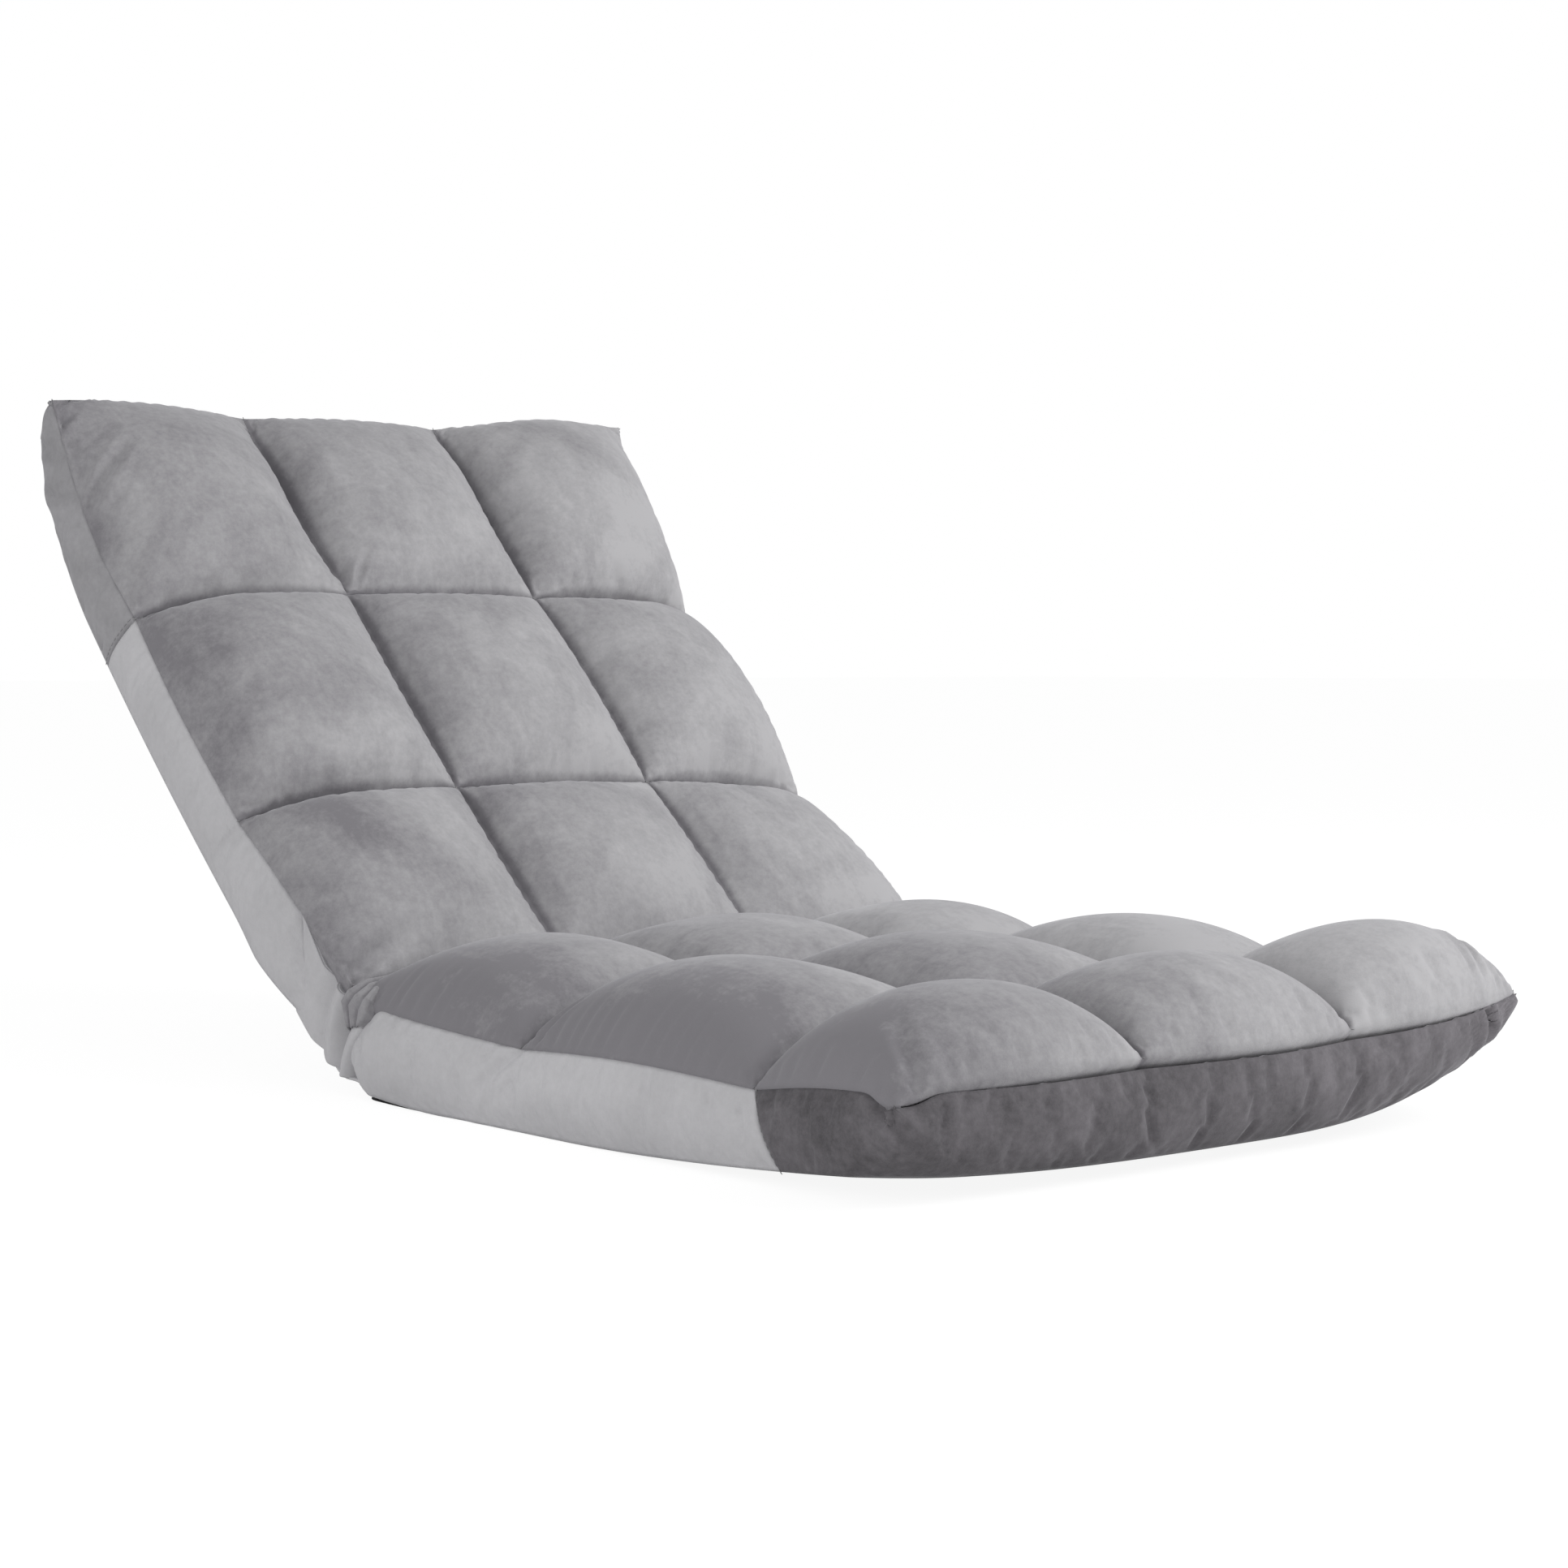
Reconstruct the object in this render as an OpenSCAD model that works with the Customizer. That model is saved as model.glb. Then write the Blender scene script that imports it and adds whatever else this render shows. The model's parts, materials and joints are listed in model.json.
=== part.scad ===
// Folding floor chair: two quilted halves on steel tube frames, joined by a ratchet hinge on each side.
// The chair faces -Y with its seat on the floor. The origin is on the floor, under the middle of the seat.
// Each half is drawn flat: x across, y away from the hinge line, z up from the hinge axis.

/* [Chair] */
// Width across the side seams
chair_w = 520; // [460:10:620]
// Angle of the backrest above the floor, as drawn
back_lean = 44; // [20:1:80]
// Height of the hinge axis above the underside of the seat
hinge_h = 45; // [43:1:50]
// Distance from the origin back to the hinge line
hinge_y = 255; // [240:5:270]

/* [Quilt] */
// Depth of the seat row next to the hinge
seat_rear_row = 200; // [180:5:220]
// Depth of the middle row of the seat
seat_middle_row = 220; // [200:5:240]
// Depth of the front row of the seat
seat_front_row = 142; // [130:2:170]
// Height of the backrest row next to the hinge
back_lower_row = 186; // [170:2:210]
// Height of the middle row of the backrest
back_middle_row = 202; // [190:2:220]
// Height of the top row of the backrest
back_top_row = 212; // [190:2:230]
// Width of the middle column of pillows
centre_column_w = 176; // [150:2:200]
// Height of the pillow crests above the hinge axis
crest_h = 62; // [54:1:72]
// Height of the sewn tufts above the hinge axis
tuft_h = 24; // [16:1:32]
// Height of the crease between seat and backrest above the hinge axis
crease_h = 36; // [32:1:42]
// How far the sides and ends draw in at the quilt lines
draw_in = 7; // [0:1:12]
// How far the end corners sit back from the middle of the end
corner_back = 12; // [0:1:18]

/* [Covers] */
// Height of the seat's side seam above the hinge axis
seat_seam_h = 10; // [6:1:14]
// Height of the backrest's side seam above the hinge axis
back_seam_h = 3; // [1:1:7]
// Height of the side seams where they meet at the fold
fold_seam_h = 28; // [24:1:32]
// How far the front end of the seat curls up
seat_curl = 11; // [4:1:18]
// How far the top end of the backrest curls forward
back_curl = 40; // [20:2:50]
// Thickness of the boxing panels with their foam lining
panel_t = 4; // [3:0.5:5]
// Thickness of the cloth under the seat and behind the backrest
cloth_t = 1.2; // [0.8:0.1:1.6]
// How far the boxing panels bulge between their edges
panel_bulge = 3; // [0:0.5:6]

/* [Frame] */
// Outer diameter of the frame tubes
tube_d = 16; // [14:1:18]
// Wall of the frame tubes
tube_wall = 1.2; // [1:0.1:1.6]
// Distance from the side of the chair in to the centre line of a side rail
rail_inset = 38; // [34:1:60]
// Distance from the hinge line to the end tube of each frame
frame_len = 440; // [420:5:450]
// Radius of the bends of the frames, on the centre line
bend_r = 60; // [40:5:80]
// Depth of the frame tubes' centre line below the hinge axis
tube_drop = 30; // [29:0.5:31]
// Width of each webbing strap
strap_w = 38; // [25:1:45]
// Thickness of the webbing straps
strap_t = 1.5; // [1:0.1:1.8]
// Number of webbing straps in each half
strap_count = 5; // [3:1:5]

/* [Hinge] */
// Thickness of the ratchet plate and pawl
ratchet_t = 5; // [4:0.5:6]
// Thickness of each cheek plate
cheek_t = 2; // [1.5:0.5:3]
// Radius of the cheek plates round the axis
cheek_r = 20; // [19:0.5:21]
// Radius of the ratchet plate over its teeth
tooth_tip_r = 19; // [18:0.5:19.5]
// Height of the ratchet teeth
tooth_h = 3; // [2:0.5:4]
// Number of locking positions
tooth_count = 6; // [4:1:7]
// Diameter of the hinge pin
pin_d = 8; // [6:0.5:9]
// Wall of the nylon bush round the hinge pin
bush_wall = 2; // [1.5:0.25:2.5]
// Diameter of the rivets and pawl pins
rivet_d = 5; // [4:0.5:5]

/* [Hidden] */

// The two halves, as places in the lists below
SEAT = 0;
BACK = 1;
// Signs of the chair's left and right as one sits in it
LEFT = 1;
RIGHT = -1;

// Colours
velvet = [0.62, 0.62, 0.64];
velvet_light = [0.68, 0.68, 0.7];
velvet_dark = [0.42, 0.42, 0.45];
black_cloth = [0.07, 0.07, 0.08];
foam_colour = [0.9, 0.86, 0.7];
backing_colour = [0.85, 0.85, 0.85];
strap_colour = [0.2, 0.2, 0.22];
paint_black = [0.1, 0.1, 0.11];
zinc = [0.72, 0.73, 0.75];
nylon = [0.92, 0.92, 0.9];
thread_colour = [0.5, 0.5, 0.52];

// Gap between soft pieces, gap between steel pieces, and running clearance on a radius
soft_gap = 0.3;
steel_gap = 0.1;
run_gap = 0.05;
// Overrun of cuts past the faces they open
cut_over = 1;
// Resolution of round solids
round_fn = 48;

// Rows of each half, the lines between them, and the length from the hinge line to the end seam
rows = [[seat_rear_row, seat_middle_row, seat_front_row], [back_lower_row, back_middle_row, back_top_row]];
function row_start(half, row) = row == 0 ? 0 : row_start(half, row - 1) + rows[half][row - 1];
function row_end(half, row) = row_start(half, row) + rows[half][row];
function half_len(half) = row_end(half, 2);
seams = [seat_seam_h, back_seam_h];
curls = [seat_curl, back_curl];
// Share of the curl that the end seam of each half follows
seam_curl_shares = [0.5, 0.94];
// How the side seam falls from the fold in each half: the power of the distance, then of what is left
seam_fall_shares = [[1, 3], [2, 1.2]];
// Sag of the side seams at the quilt lines
seam_sag = 5;
// Height of the quilts' flat underside in each half
core_tops = [-4, -9];

// Height of the backrest's rear cover above the floor when it lies flat
lift_off = 0.8;
// Layers from the underside up: cloth, lower foam, frame and straps, upper foam, backing, quilt
function cover_bottom(half) = (half == BACK ? lift_off : 0) - hinge_h;
function lower_foam_bottom(half) = cover_bottom(half) + cloth_t + soft_gap;
strap_bottom = -tube_drop + tube_d / 2 + soft_gap;
lower_foam_top = strap_bottom - soft_gap;
upper_foam_bottom = strap_bottom + strap_t + soft_gap;
backing_t = 0.8;
function backing_top(half) = core_tops[half] - soft_gap;
function upper_foam_top(half) = backing_top(half) - backing_t - soft_gap;
// Where the flat part of each half ends and the curl begins, just past the frame
curl_start = frame_len + tube_d;
function curl_share(half, s) = pow(max(0, s - curl_start) / (half_len(half) - curl_start), 2);
function curl(half, s) = curls[half] * curl_share(half, s);

// Rise of the underside towards the fold, and where it begins, in each half
fold_rises = [18, 24];
fold_flats = [43, 100];
rise_share = 1.2;
function fold_rise(half, s) = fold_rises[half] * pow(clamp01(1 - s / fold_flats[half]), rise_share);

// Room that the hinge plates need under the quilts
plate_clear = 1.5;
plate_room_h = cheek_r + plate_clear;
plate_room_past = 25;
plate_room_len = cheek_r + plate_room_past;
plate_room_ramp = 30;
plate_room_end = plate_room_len + plate_room_ramp;
// Distance between the centre lines of the side rails, which carry the hinges
rail_gauge = chair_w - 2 * rail_inset;
hinge_x = rail_gauge / 2;

// Smooth parts of the quilt's shape
function clamp01(v) = min(1, max(0, v));
function mix(a, b, t) = a + (b - a) * t;
function hump(t) = sin(180 * clamp01(t));
// Share of a row that s has crossed, from 0 to 1
function row_of(half, s) = s < row_end(half, 0) ? 0 : s < row_end(half, 1) ? 1 : 2;
function row_share(half, s) = let (r = row_of(half, s)) clamp01((s - row_start(half, r)) / rows[half][r]);
// Height of the side seam at distance s from the hinge line
function seam_h(half, s) =
    let (
        r = row_of(half, s),
        powers = seam_fall_shares[half],
        fall = pow(1 - pow(row_share(half, s), powers[0]), powers[1])
    )
    mix(seams[half] - seam_sag + seam_sag * hump(row_share(half, s)), fold_seam_h, r == 0 ? fall : 0)
    + seam_curl_shares[half] * curl(half, s);
// Half width of the cover, which draws in at the quilt lines
function side_x(half, s) = chair_w / 2 - draw_in + draw_in * hump(row_share(half, s));
// Borders of the pillow columns, as x
column_edges = [-chair_w / 2, -centre_column_w / 2, centre_column_w / 2, chair_w / 2];
function column_of(x) = x < column_edges[1] ? 0 : x < column_edges[2] ? 1 : 2;
function column_share(x) =
    let (c = column_of(x)) clamp01((x - column_edges[c]) / (column_edges[c + 1] - column_edges[c]));
// Place of the end seam, which draws in at the columns and sits back at the corners
function end_s(half, x) = half_len(half) - draw_in + draw_in * hump(column_share(x))
    - corner_back * pow(abs(2 * x / chair_w), 4);
// Share of the way in from the side seams to the tufts
function inner_share(x) = sin(90 * clamp01((chair_w / 2 - abs(x)) / (chair_w - centre_column_w) * 2));
// Height of the sewn lines at their own row and column, and of the pillows between them
function tuft_line_h(half, s) =
    s < row_end(half, 0) ? mix(crease_h, tuft_h, row_share(half, s))
    : s < row_end(half, 1) ? tuft_h
    : mix(tuft_h, seams[half], row_share(half, s)) + seam_curl_shares[half] * curl(half, s);
function sewn_h(half, x, s) = mix(seam_h(half, s), tuft_line_h(half, s), inner_share(x));
// How sharply the pillows rise from their seams
pillow_share = 0.5;
function pillow(half, x, s) = pow(hump(column_share(x)) * hump(row_share(half, s)), pillow_share);
function quilt_top(half, x, s) =
    mix(sewn_h(half, x, s), crest_h + seam_curl_shares[half] * curl(half, s), pillow(half, x, s));
// Underside of the quilts, which climbs over the hinge plates
function quilt_under(half, s) =
    mix(core_tops[half], plate_room_h, clamp01((plate_room_end - s) / (plate_room_end - plate_room_len)))
    + curl(half, s);

// Closed solid between two grids of points with the same rows and columns
function grid_faces(rows_n, cols_n) =
    let (n = rows_n * cols_n)
    concat(
        [for (i = [0:rows_n - 2], j = [0:cols_n - 2], k = [0:1])
            let (a = i * cols_n + j)
            k == 0 ? [a, a + cols_n, a + 1] : [a + 1, a + cols_n, a + cols_n + 1]],
        [for (i = [0:rows_n - 2], j = [0:cols_n - 2], k = [0:1])
            let (a = n + i * cols_n + j)
            k == 0 ? [a, a + 1, a + cols_n] : [a + 1, a + cols_n + 1, a + cols_n]],
        [for (j = [0:cols_n - 2], k = [0:1])
            k == 0 ? [j, j + 1, n + j] : [j + 1, n + j + 1, n + j]],
        [for (j = [0:cols_n - 2], k = [0:1])
            let (a = (rows_n - 1) * cols_n + j)
            k == 0 ? [a, n + a, a + 1] : [a + 1, n + a, n + a + 1]],
        [for (i = [0:rows_n - 2], k = [0:1])
            let (a = i * cols_n)
            k == 0 ? [a, n + a, a + cols_n] : [a + cols_n, n + a, n + a + cols_n]],
        [for (i = [0:rows_n - 2], k = [0:1])
            let (a = i * cols_n + cols_n - 1)
            k == 0 ? [a, a + cols_n, n + a] : [a + cols_n, n + a + cols_n, n + a]]
    );
module grid_solid(upper, lower) {
    points = [for (grid = [upper, lower], line = grid, p = line) p];
    polyhedron(points = points, faces = grid_faces(len(upper), len(upper[0])), convexity = 6);
}

// Places a half that is drawn flat: the seat towards the front, the backrest at its lean
module place(half) {
    translate([0, hinge_y, hinge_h])
        rotate(half == SEAT ? [0, 0, 180] : [back_lean, 0, 0]) children();
}
// Sign of x in a half's own drawing for a side of the chair
function own_side(half, side) = half == SEAT ? -side : side;

// Quilted rows: three pillows each
pillow_cells = 8;
row_cells = 9;
edge_t = 2;
// Most that the underside falls from a rim to the next line of points
rim_fall = 12;
function column_x(j) =
    let (c = min(2, floor(j / pillow_cells)))
    mix(column_edges[c], column_edges[c + 1], j / pillow_cells - c);
// Slope of the plane that halves the angle between seat and backrest
fold_slope = tan(back_lean / 2);
function quilt_point(half, row, i, j, top) =
    let (
        x = column_x(j),
        first = row == 0 ? crease_h * fold_slope + soft_gap : row_start(half, row) + soft_gap,
        last = row == 2 ? end_s(half, x) : row_end(half, row) - soft_gap,
        s = mix(first, last, i / row_cells),
        cells_in = min(j, 3 * pillow_cells - j, row == 2 ? row_cells - i : row_cells),
        fold_edge = row == 0 && i == 0,
        sew_s = row == 2 ? mix(first, half_len(half), i / row_cells) : s,
        high = i == row_cells ? sewn_h(half, x, row_end(half, row) - soft_gap)
            : i == 0 ? sewn_h(half, x, first) : quilt_top(half, x, sew_s),
        rim_h = seam_h(half, sew_s) - edge_t,
        low = cells_in == 0 ? rim_h
            : fold_edge ? plate_room_h
            : cells_in == 1 ? max(quilt_under(half, s), rim_h - rim_fall)
            : quilt_under(half, s),
        h = top ? high : min(low, high - edge_t)
    )
    [x * side_x(half, s) * 2 / chair_w, fold_edge ? h * fold_slope + soft_gap : s, h];
module quilt_row(half, row) {
    upper = [for (i = [0:row_cells]) [for (j = [0:3 * pillow_cells]) quilt_point(half, row, i, j, true)]];
    lower = [for (i = [0:row_cells]) [for (j = [0:3 * pillow_cells]) quilt_point(half, row, i, j, false)]];
    color(velvet) place(half) grid_solid(upper, lower);
}

// Boxing panels: light sides from the fold to the last quilt line
panel_rows = 4;
panel_cells = 12;
// Drop of a panel's top edge below the seam, which leaves room for the quilt's edge, and more at corners
panel_drop = 6;
corner_drop = 9;
// Lean of the panel's seam to the end wrap, and of its end at the fold
wrap_slants = [30, 0];
panel_end_s = [[57, 22], [85, 24]];
function panel_bottom(half, s) = cover_bottom(half) + cloth_t + 2 * soft_gap + fold_rise(half, s);
function panel_point(half, i, k, depth) =
    let (
        t = k / panel_rows,
        first = mix(panel_end_s[half][0], panel_end_s[half][1], t),
        last = row_end(half, 1) - soft_gap + wrap_slants[half] * t,
        s = mix(first, last, i / panel_cells),
        top_s = min(s, row_end(half, 1) - soft_gap)
    )
    [side_x(half, top_s) - depth + panel_bulge * hump(t), s,
        mix(seam_h(half, top_s) - panel_drop, panel_bottom(half, s), t)];
module side_panel(half, side) {
    outer = [for (i = [0:panel_cells]) [for (k = [0:panel_rows]) panel_point(half, i, k, 0)]];
    inner = [for (i = [0:panel_cells]) [for (k = [0:panel_rows]) panel_point(half, i, k, panel_t)]];
    color(velvet_light) place(half)
        mirror([own_side(half, side) > 0 ? 0 : 1, 0, 0]) grid_solid(outer, inner);
}

// End wraps: dark boxing round the front row of the seat and the top row of the backrest
wrap_side_cells = 4;
wrap_corner_cells = 4;
wrap_front_cells = 16;
wrap_corner_r = 24;
wrap_cells = 2 * (wrap_side_cells + wrap_corner_cells) + wrap_front_cells;
// How far the wrap's bottom edge tucks under the end
wrap_tuck = 16;
// Outline of the wrap seen from above, with its outward direction, from one side round to the other
function wrap_path(half, m, t) =
    m > wrap_cells / 2 ? let (p = wrap_path(half, wrap_cells - m, t)) [-p[0], p[1], -p[2], p[3]]
    : let (
        side_first = row_end(half, 1) + soft_gap + wrap_slants[half] * t,
        corner_x = side_x(half, half_len(half)) - wrap_corner_r,
        corner_s = end_s(half, chair_w / 2) - wrap_corner_r,
        turn = 90 * (m - wrap_side_cells) / wrap_corner_cells,
        front_x = mix(corner_x, 0, (m - wrap_side_cells - wrap_corner_cells) * 2 / wrap_front_cells),
        side_s = mix(side_first, corner_s, m / wrap_side_cells)
    )
    m < wrap_side_cells ? [side_x(half, side_s), side_s, 1, 0]
    : m < wrap_side_cells + wrap_corner_cells
        ? [corner_x + wrap_corner_r * cos(turn), corner_s + wrap_corner_r * sin(turn), cos(turn), sin(turn)]
    : [front_x, end_s(half, front_x), 0, 1];
function wrap_point(half, m, k, depth) =
    let (
        t = k / panel_rows,
        p = wrap_path(half, m, t),
        out = panel_bulge * hump(t) - wrap_tuck * pow(t, 3) * p[3] - depth,
        top_h = seam_h(half, p[1]) - panel_drop - corner_drop * 2 * abs(p[2] * p[3]),
        low_h = panel_bottom(half, p[1]) + curl(half, p[1])
    )
    [p[0] + p[2] * out, p[1] + p[3] * out, mix(top_h, low_h, t)];
module end_wrap(half) {
    outer = [for (m = [0:wrap_cells]) [for (k = [0:panel_rows]) wrap_point(half, m, k, 0)]];
    inner = [for (m = [0:wrap_cells]) [for (k = [0:panel_rows]) wrap_point(half, m, k, panel_t)]];
    color(velvet_dark) place(half) grid_solid(outer, inner);
}

// Outline of a slab seen from above, inside the panels and the end wrap
function slab_corner(half, side_inset, end_inset, m) =
    let (
        turn = 90 * m / wrap_corner_cells,
        reach = wrap_corner_r - mix(side_inset, end_inset, sin(turn))
    )
    [side_x(half, half_len(half)) - wrap_corner_r + reach * cos(turn),
        end_s(half, chair_w / 2) - wrap_corner_r + reach * sin(turn)];
module slab_plan(half, side_inset, end_inset) {
    span = side_x(half, half_len(half)) - wrap_corner_r;
    corner = [for (m = [0:wrap_corner_cells]) slab_corner(half, side_inset, end_inset, m)];
    front = [for (m = [1:wrap_front_cells - 1])
        let (x = mix(span, -span, m / wrap_front_cells)) [x, end_s(half, x) - end_inset]];
    polygon(concat([[corner[0][0], 0]], corner, front,
        [for (m = [wrap_corner_cells:-1:0]) [-corner[m][0], corner[m][1]]], [[-corner[0][0], 0]]));
}
// Slab across the chair between two heights that starts at from_s, rises there with the underside
// if asked, and follows the curl at its far end
slab_cells = 6;
module slab(half, side_inset, end_inset, from_s, low, high, rises = 0) {
    to_s = half_len(half);
    bend = [for (i = [0:slab_cells]) mix(curl_start, to_s, i / slab_cells)];
    outline = concat(
        [[from_s, low + rises * fold_rise(half, from_s)], [max(from_s, fold_flats[half]), low]],
        [for (s = bend) [s, low + curl(half, s)]],
        [for (i = [slab_cells:-1:0]) [bend[i], high + curl(half, bend[i])]], [[from_s, high]]
    );
    intersection() {
        rotate([90, 0, 90]) translate([0, 0, -chair_w / 2]) linear_extrude(chair_w) polygon(outline);
        translate([0, 0, low - cut_over]) linear_extrude(high - low + curls[half] + 2 * cut_over)
            slab_plan(half, side_inset, end_inset);
    }
}

// Foam: a lower slab with grooves for the frame, and an upper slab over the straps
lower_foam_start = 34;
upper_foam_start = 80;
foam_inset = panel_t + soft_gap;
foam_end_inset = panel_t + wrap_tuck + soft_gap;
groove_w = tube_d + 2 * (strap_t + 3 * soft_gap);
cross_tube_s = 105;
groove_floor = -tube_drop - tube_d / 2 - strap_t - 2 * soft_gap;
module frame_outline(width) {
    span = rail_gauge / 2 - bend_r;
    for (side = [-1, 1]) {
        translate([side * rail_gauge / 2 - width / 2, 0]) square([width, frame_len - bend_r]);
        translate([side * span, frame_len - bend_r]) intersection() {
            difference() {
                circle(bend_r + width / 2, $fn = round_fn);
                circle(bend_r - width / 2, $fn = round_fn);
            }
            translate([side < 0 ? -2 * bend_r : 0, 0]) square(2 * bend_r);
        }
    }
    translate([-span, frame_len - width / 2]) square([2 * span, width]);
}
module lower_foam(half) {
    groove_h = lower_foam_top - groove_floor + cut_over;
    color(foam_colour) place(half) difference() {
        slab(half, foam_inset, foam_end_inset, lower_foam_start, lower_foam_bottom(half), lower_foam_top, 1);
        translate([0, 0, groove_floor]) linear_extrude(groove_h) frame_outline(groove_w);
        translate([-rail_gauge / 2, cross_tube_s - groove_w / 2, groove_floor])
            cube([rail_gauge, groove_w, groove_h]);
    }
}
module upper_foam(half) {
    color(foam_colour) place(half) difference() {
        slab(half, foam_inset, foam_end_inset, upper_foam_start, upper_foam_bottom, upper_foam_top(half));
        tie_places(half) {
            translate([0, 0, upper_foam_bottom - cut_over])
                cylinder(d = tie_d + 2 * soft_gap, h = tie_len(half) + 2 * cut_over, $fn = round_fn);
            translate([0, 0, upper_foam_bottom - cut_over])
                cylinder(d = tie_disc_d + 2 * soft_gap, h = disc_room_h + cut_over, $fn = round_fn);
        }
    }
}
module quilt_backing(half) {
    color(backing_colour) place(half) difference() {
        slab(half, foam_inset, foam_end_inset, upper_foam_start, backing_top(half) - backing_t,
            backing_top(half));
        tie_places(half) translate([0, 0, upper_foam_bottom])
            cylinder(d = tie_d + 2 * soft_gap, h = tie_len(half) + cut_over, $fn = round_fn);
    }
}

// Tuft ties: a disc in the foam's underside and a thread up to the quilt at each crossing
tie_d = 3;
tie_disc_d = 16;
tie_disc_t = 2;
disc_room_h = tie_disc_t + soft_gap;
function tie_len(half) = core_tops[half] - upper_foam_bottom;
module tie_places(half) {
    for (x = [column_edges[1], column_edges[2]], row = [0, 1])
        translate([x, row_end(half, row), 0]) children();
}
module tuft_ties(half) {
    color(thread_colour) place(half) tie_places(half) translate([0, 0, upper_foam_bottom]) {
        cylinder(d = tie_disc_d, h = tie_disc_t, $fn = round_fn);
        cylinder(d = tie_d, h = tie_len(half) - soft_gap, $fn = round_fn);
    }
}

// Frames: a bent tube and a cross tube coped to its rails
tube_start = 75;
module bent_tube(d, start) {
    span = rail_gauge / 2 - bend_r;
    for (side = [0, 1]) mirror([side, 0, 0]) {
        translate([rail_gauge / 2, start, -tube_drop]) rotate([-90, 0, 0])
            cylinder(d = d, h = frame_len - bend_r - start, $fn = round_fn);
        translate([span, frame_len - bend_r, -tube_drop]) rotate_extrude(angle = 90, $fn = round_fn)
            translate([bend_r, 0]) circle(d = d, $fn = round_fn);
    }
    translate([-span, frame_len, -tube_drop]) rotate([0, 90, 0])
        cylinder(d = d, h = 2 * span, $fn = round_fn);
}
module frame_tube(half) {
    color(paint_black) place(half) difference() {
        bent_tube(tube_d, tube_start);
        bent_tube(tube_d - 2 * tube_wall, tube_start - cut_over);
        for (side = [-1, 1], s = tang_rivet_s)
            translate([side * hinge_x, s, -tube_drop]) rotate([0, 90, 0])
                cylinder(d = tube_rivet_d + 2 * run_gap, h = 2 * tube_d, center = true, $fn = round_fn);
    }
}
module cross_tube(half) {
    color(paint_black) place(half) difference() {
        translate([-rail_gauge / 2, cross_tube_s, -tube_drop]) rotate([0, 90, 0])
            cylinder(d = tube_d, h = rail_gauge, $fn = round_fn);
        translate([-rail_gauge / 2 - cut_over, cross_tube_s, -tube_drop]) rotate([0, 90, 0])
            cylinder(d = tube_d - 2 * tube_wall, h = rail_gauge + 2 * cut_over, $fn = round_fn);
        for (side = [-1, 1])
            translate([side * rail_gauge / 2, cross_tube_s - tube_d, -tube_drop]) rotate([-90, 0, 0])
                cylinder(d = tube_d + 2 * steel_gap, h = 2 * tube_d, $fn = round_fn);
    }
}

// Webbing: each strap runs over the frame and loops round both rails
strap_first_s = 136;
strap_last_s = frame_len - bend_r - strap_w;
module webbing(half) {
    loop_r = tube_d / 2 + soft_gap;
    color(strap_colour) place(half)
        for (i = [0:strap_count - 1])
            translate([0, mix(strap_first_s, strap_last_s, i / (strap_count - 1)) + strap_w, -tube_drop])
                rotate([90, 0, 0]) linear_extrude(strap_w) difference() {
                    union() {
                        for (side = [-1, 1]) translate([side * rail_gauge / 2, 0])
                            circle(loop_r + strap_t, $fn = round_fn);
                        translate([-rail_gauge / 2, loop_r]) square([rail_gauge, strap_t]);
                    }
                    for (side = [-1, 1]) translate([side * rail_gauge / 2, 0])
                        circle(loop_r, $fn = round_fn);
                }
}

// Flat covers
underside_start = 20;
rear_cover_start = 75;
cover_inset = 1;
cover_end_inset = wrap_tuck + panel_t + soft_gap;
module flat_cover(half, from_s) {
    slab(half, cover_inset, cover_end_inset, from_s, cover_bottom(half), cover_bottom(half) + cloth_t);
}
module underside_cloth() {
    color(black_cloth) place(SEAT) flat_cover(SEAT, underside_start);
}
module rear_cover() {
    color(velvet) place(BACK) flat_cover(BACK, rear_cover_start);
}

// Hinge plates, drawn in the plane of the hinge with s along the half and h up
tang_s = 42;
tang_end = 103;
tang_h = 18;
tongue_clear = 1.3;
tongue_h = tube_d - 2 * (tube_wall + tongue_clear);
tang_rivet_s = [85, 95];
cheek_rivet_s = [50, 66];
tube_rivet_d = 4;
arm_r = 8;
arm_end = [62, -tube_drop];
pawl_pivot = [31, 9];
pawl_eye_r = 6;
pawl_nose_r = 2;
// Gap between the lifted pawl and the tooth tips
pawl_lift = 0.4;
pawl_nose_angle = -6;
pawl_nose = (tooth_tip_r + pawl_lift + pawl_nose_r) * [cos(pawl_nose_angle), sin(pawl_nose_angle)];
plate_side_gap = 0.5;
cheek_inner = ratchet_t / 2 + plate_side_gap;
cheek_outer = cheek_inner + cheek_t;
// Flat bar with round ends between two points, wider or narrower at either end
module link_shape(a, ra, b, rb) {
    span = norm(b - a);
    turn = atan2(b[1] - a[1], b[0] - a[0]);
    side = acos((ra - rb) / span);
    translate(a) circle(ra, $fn = round_fn);
    translate(b) circle(rb, $fn = round_fn);
    polygon([
        a + ra * [cos(turn + side), sin(turn + side)], a + ra * [cos(turn - side), sin(turn - side)],
        b + rb * [cos(turn - side), sin(turn - side)], b + rb * [cos(turn + side), sin(turn + side)]
    ]);
}
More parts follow.
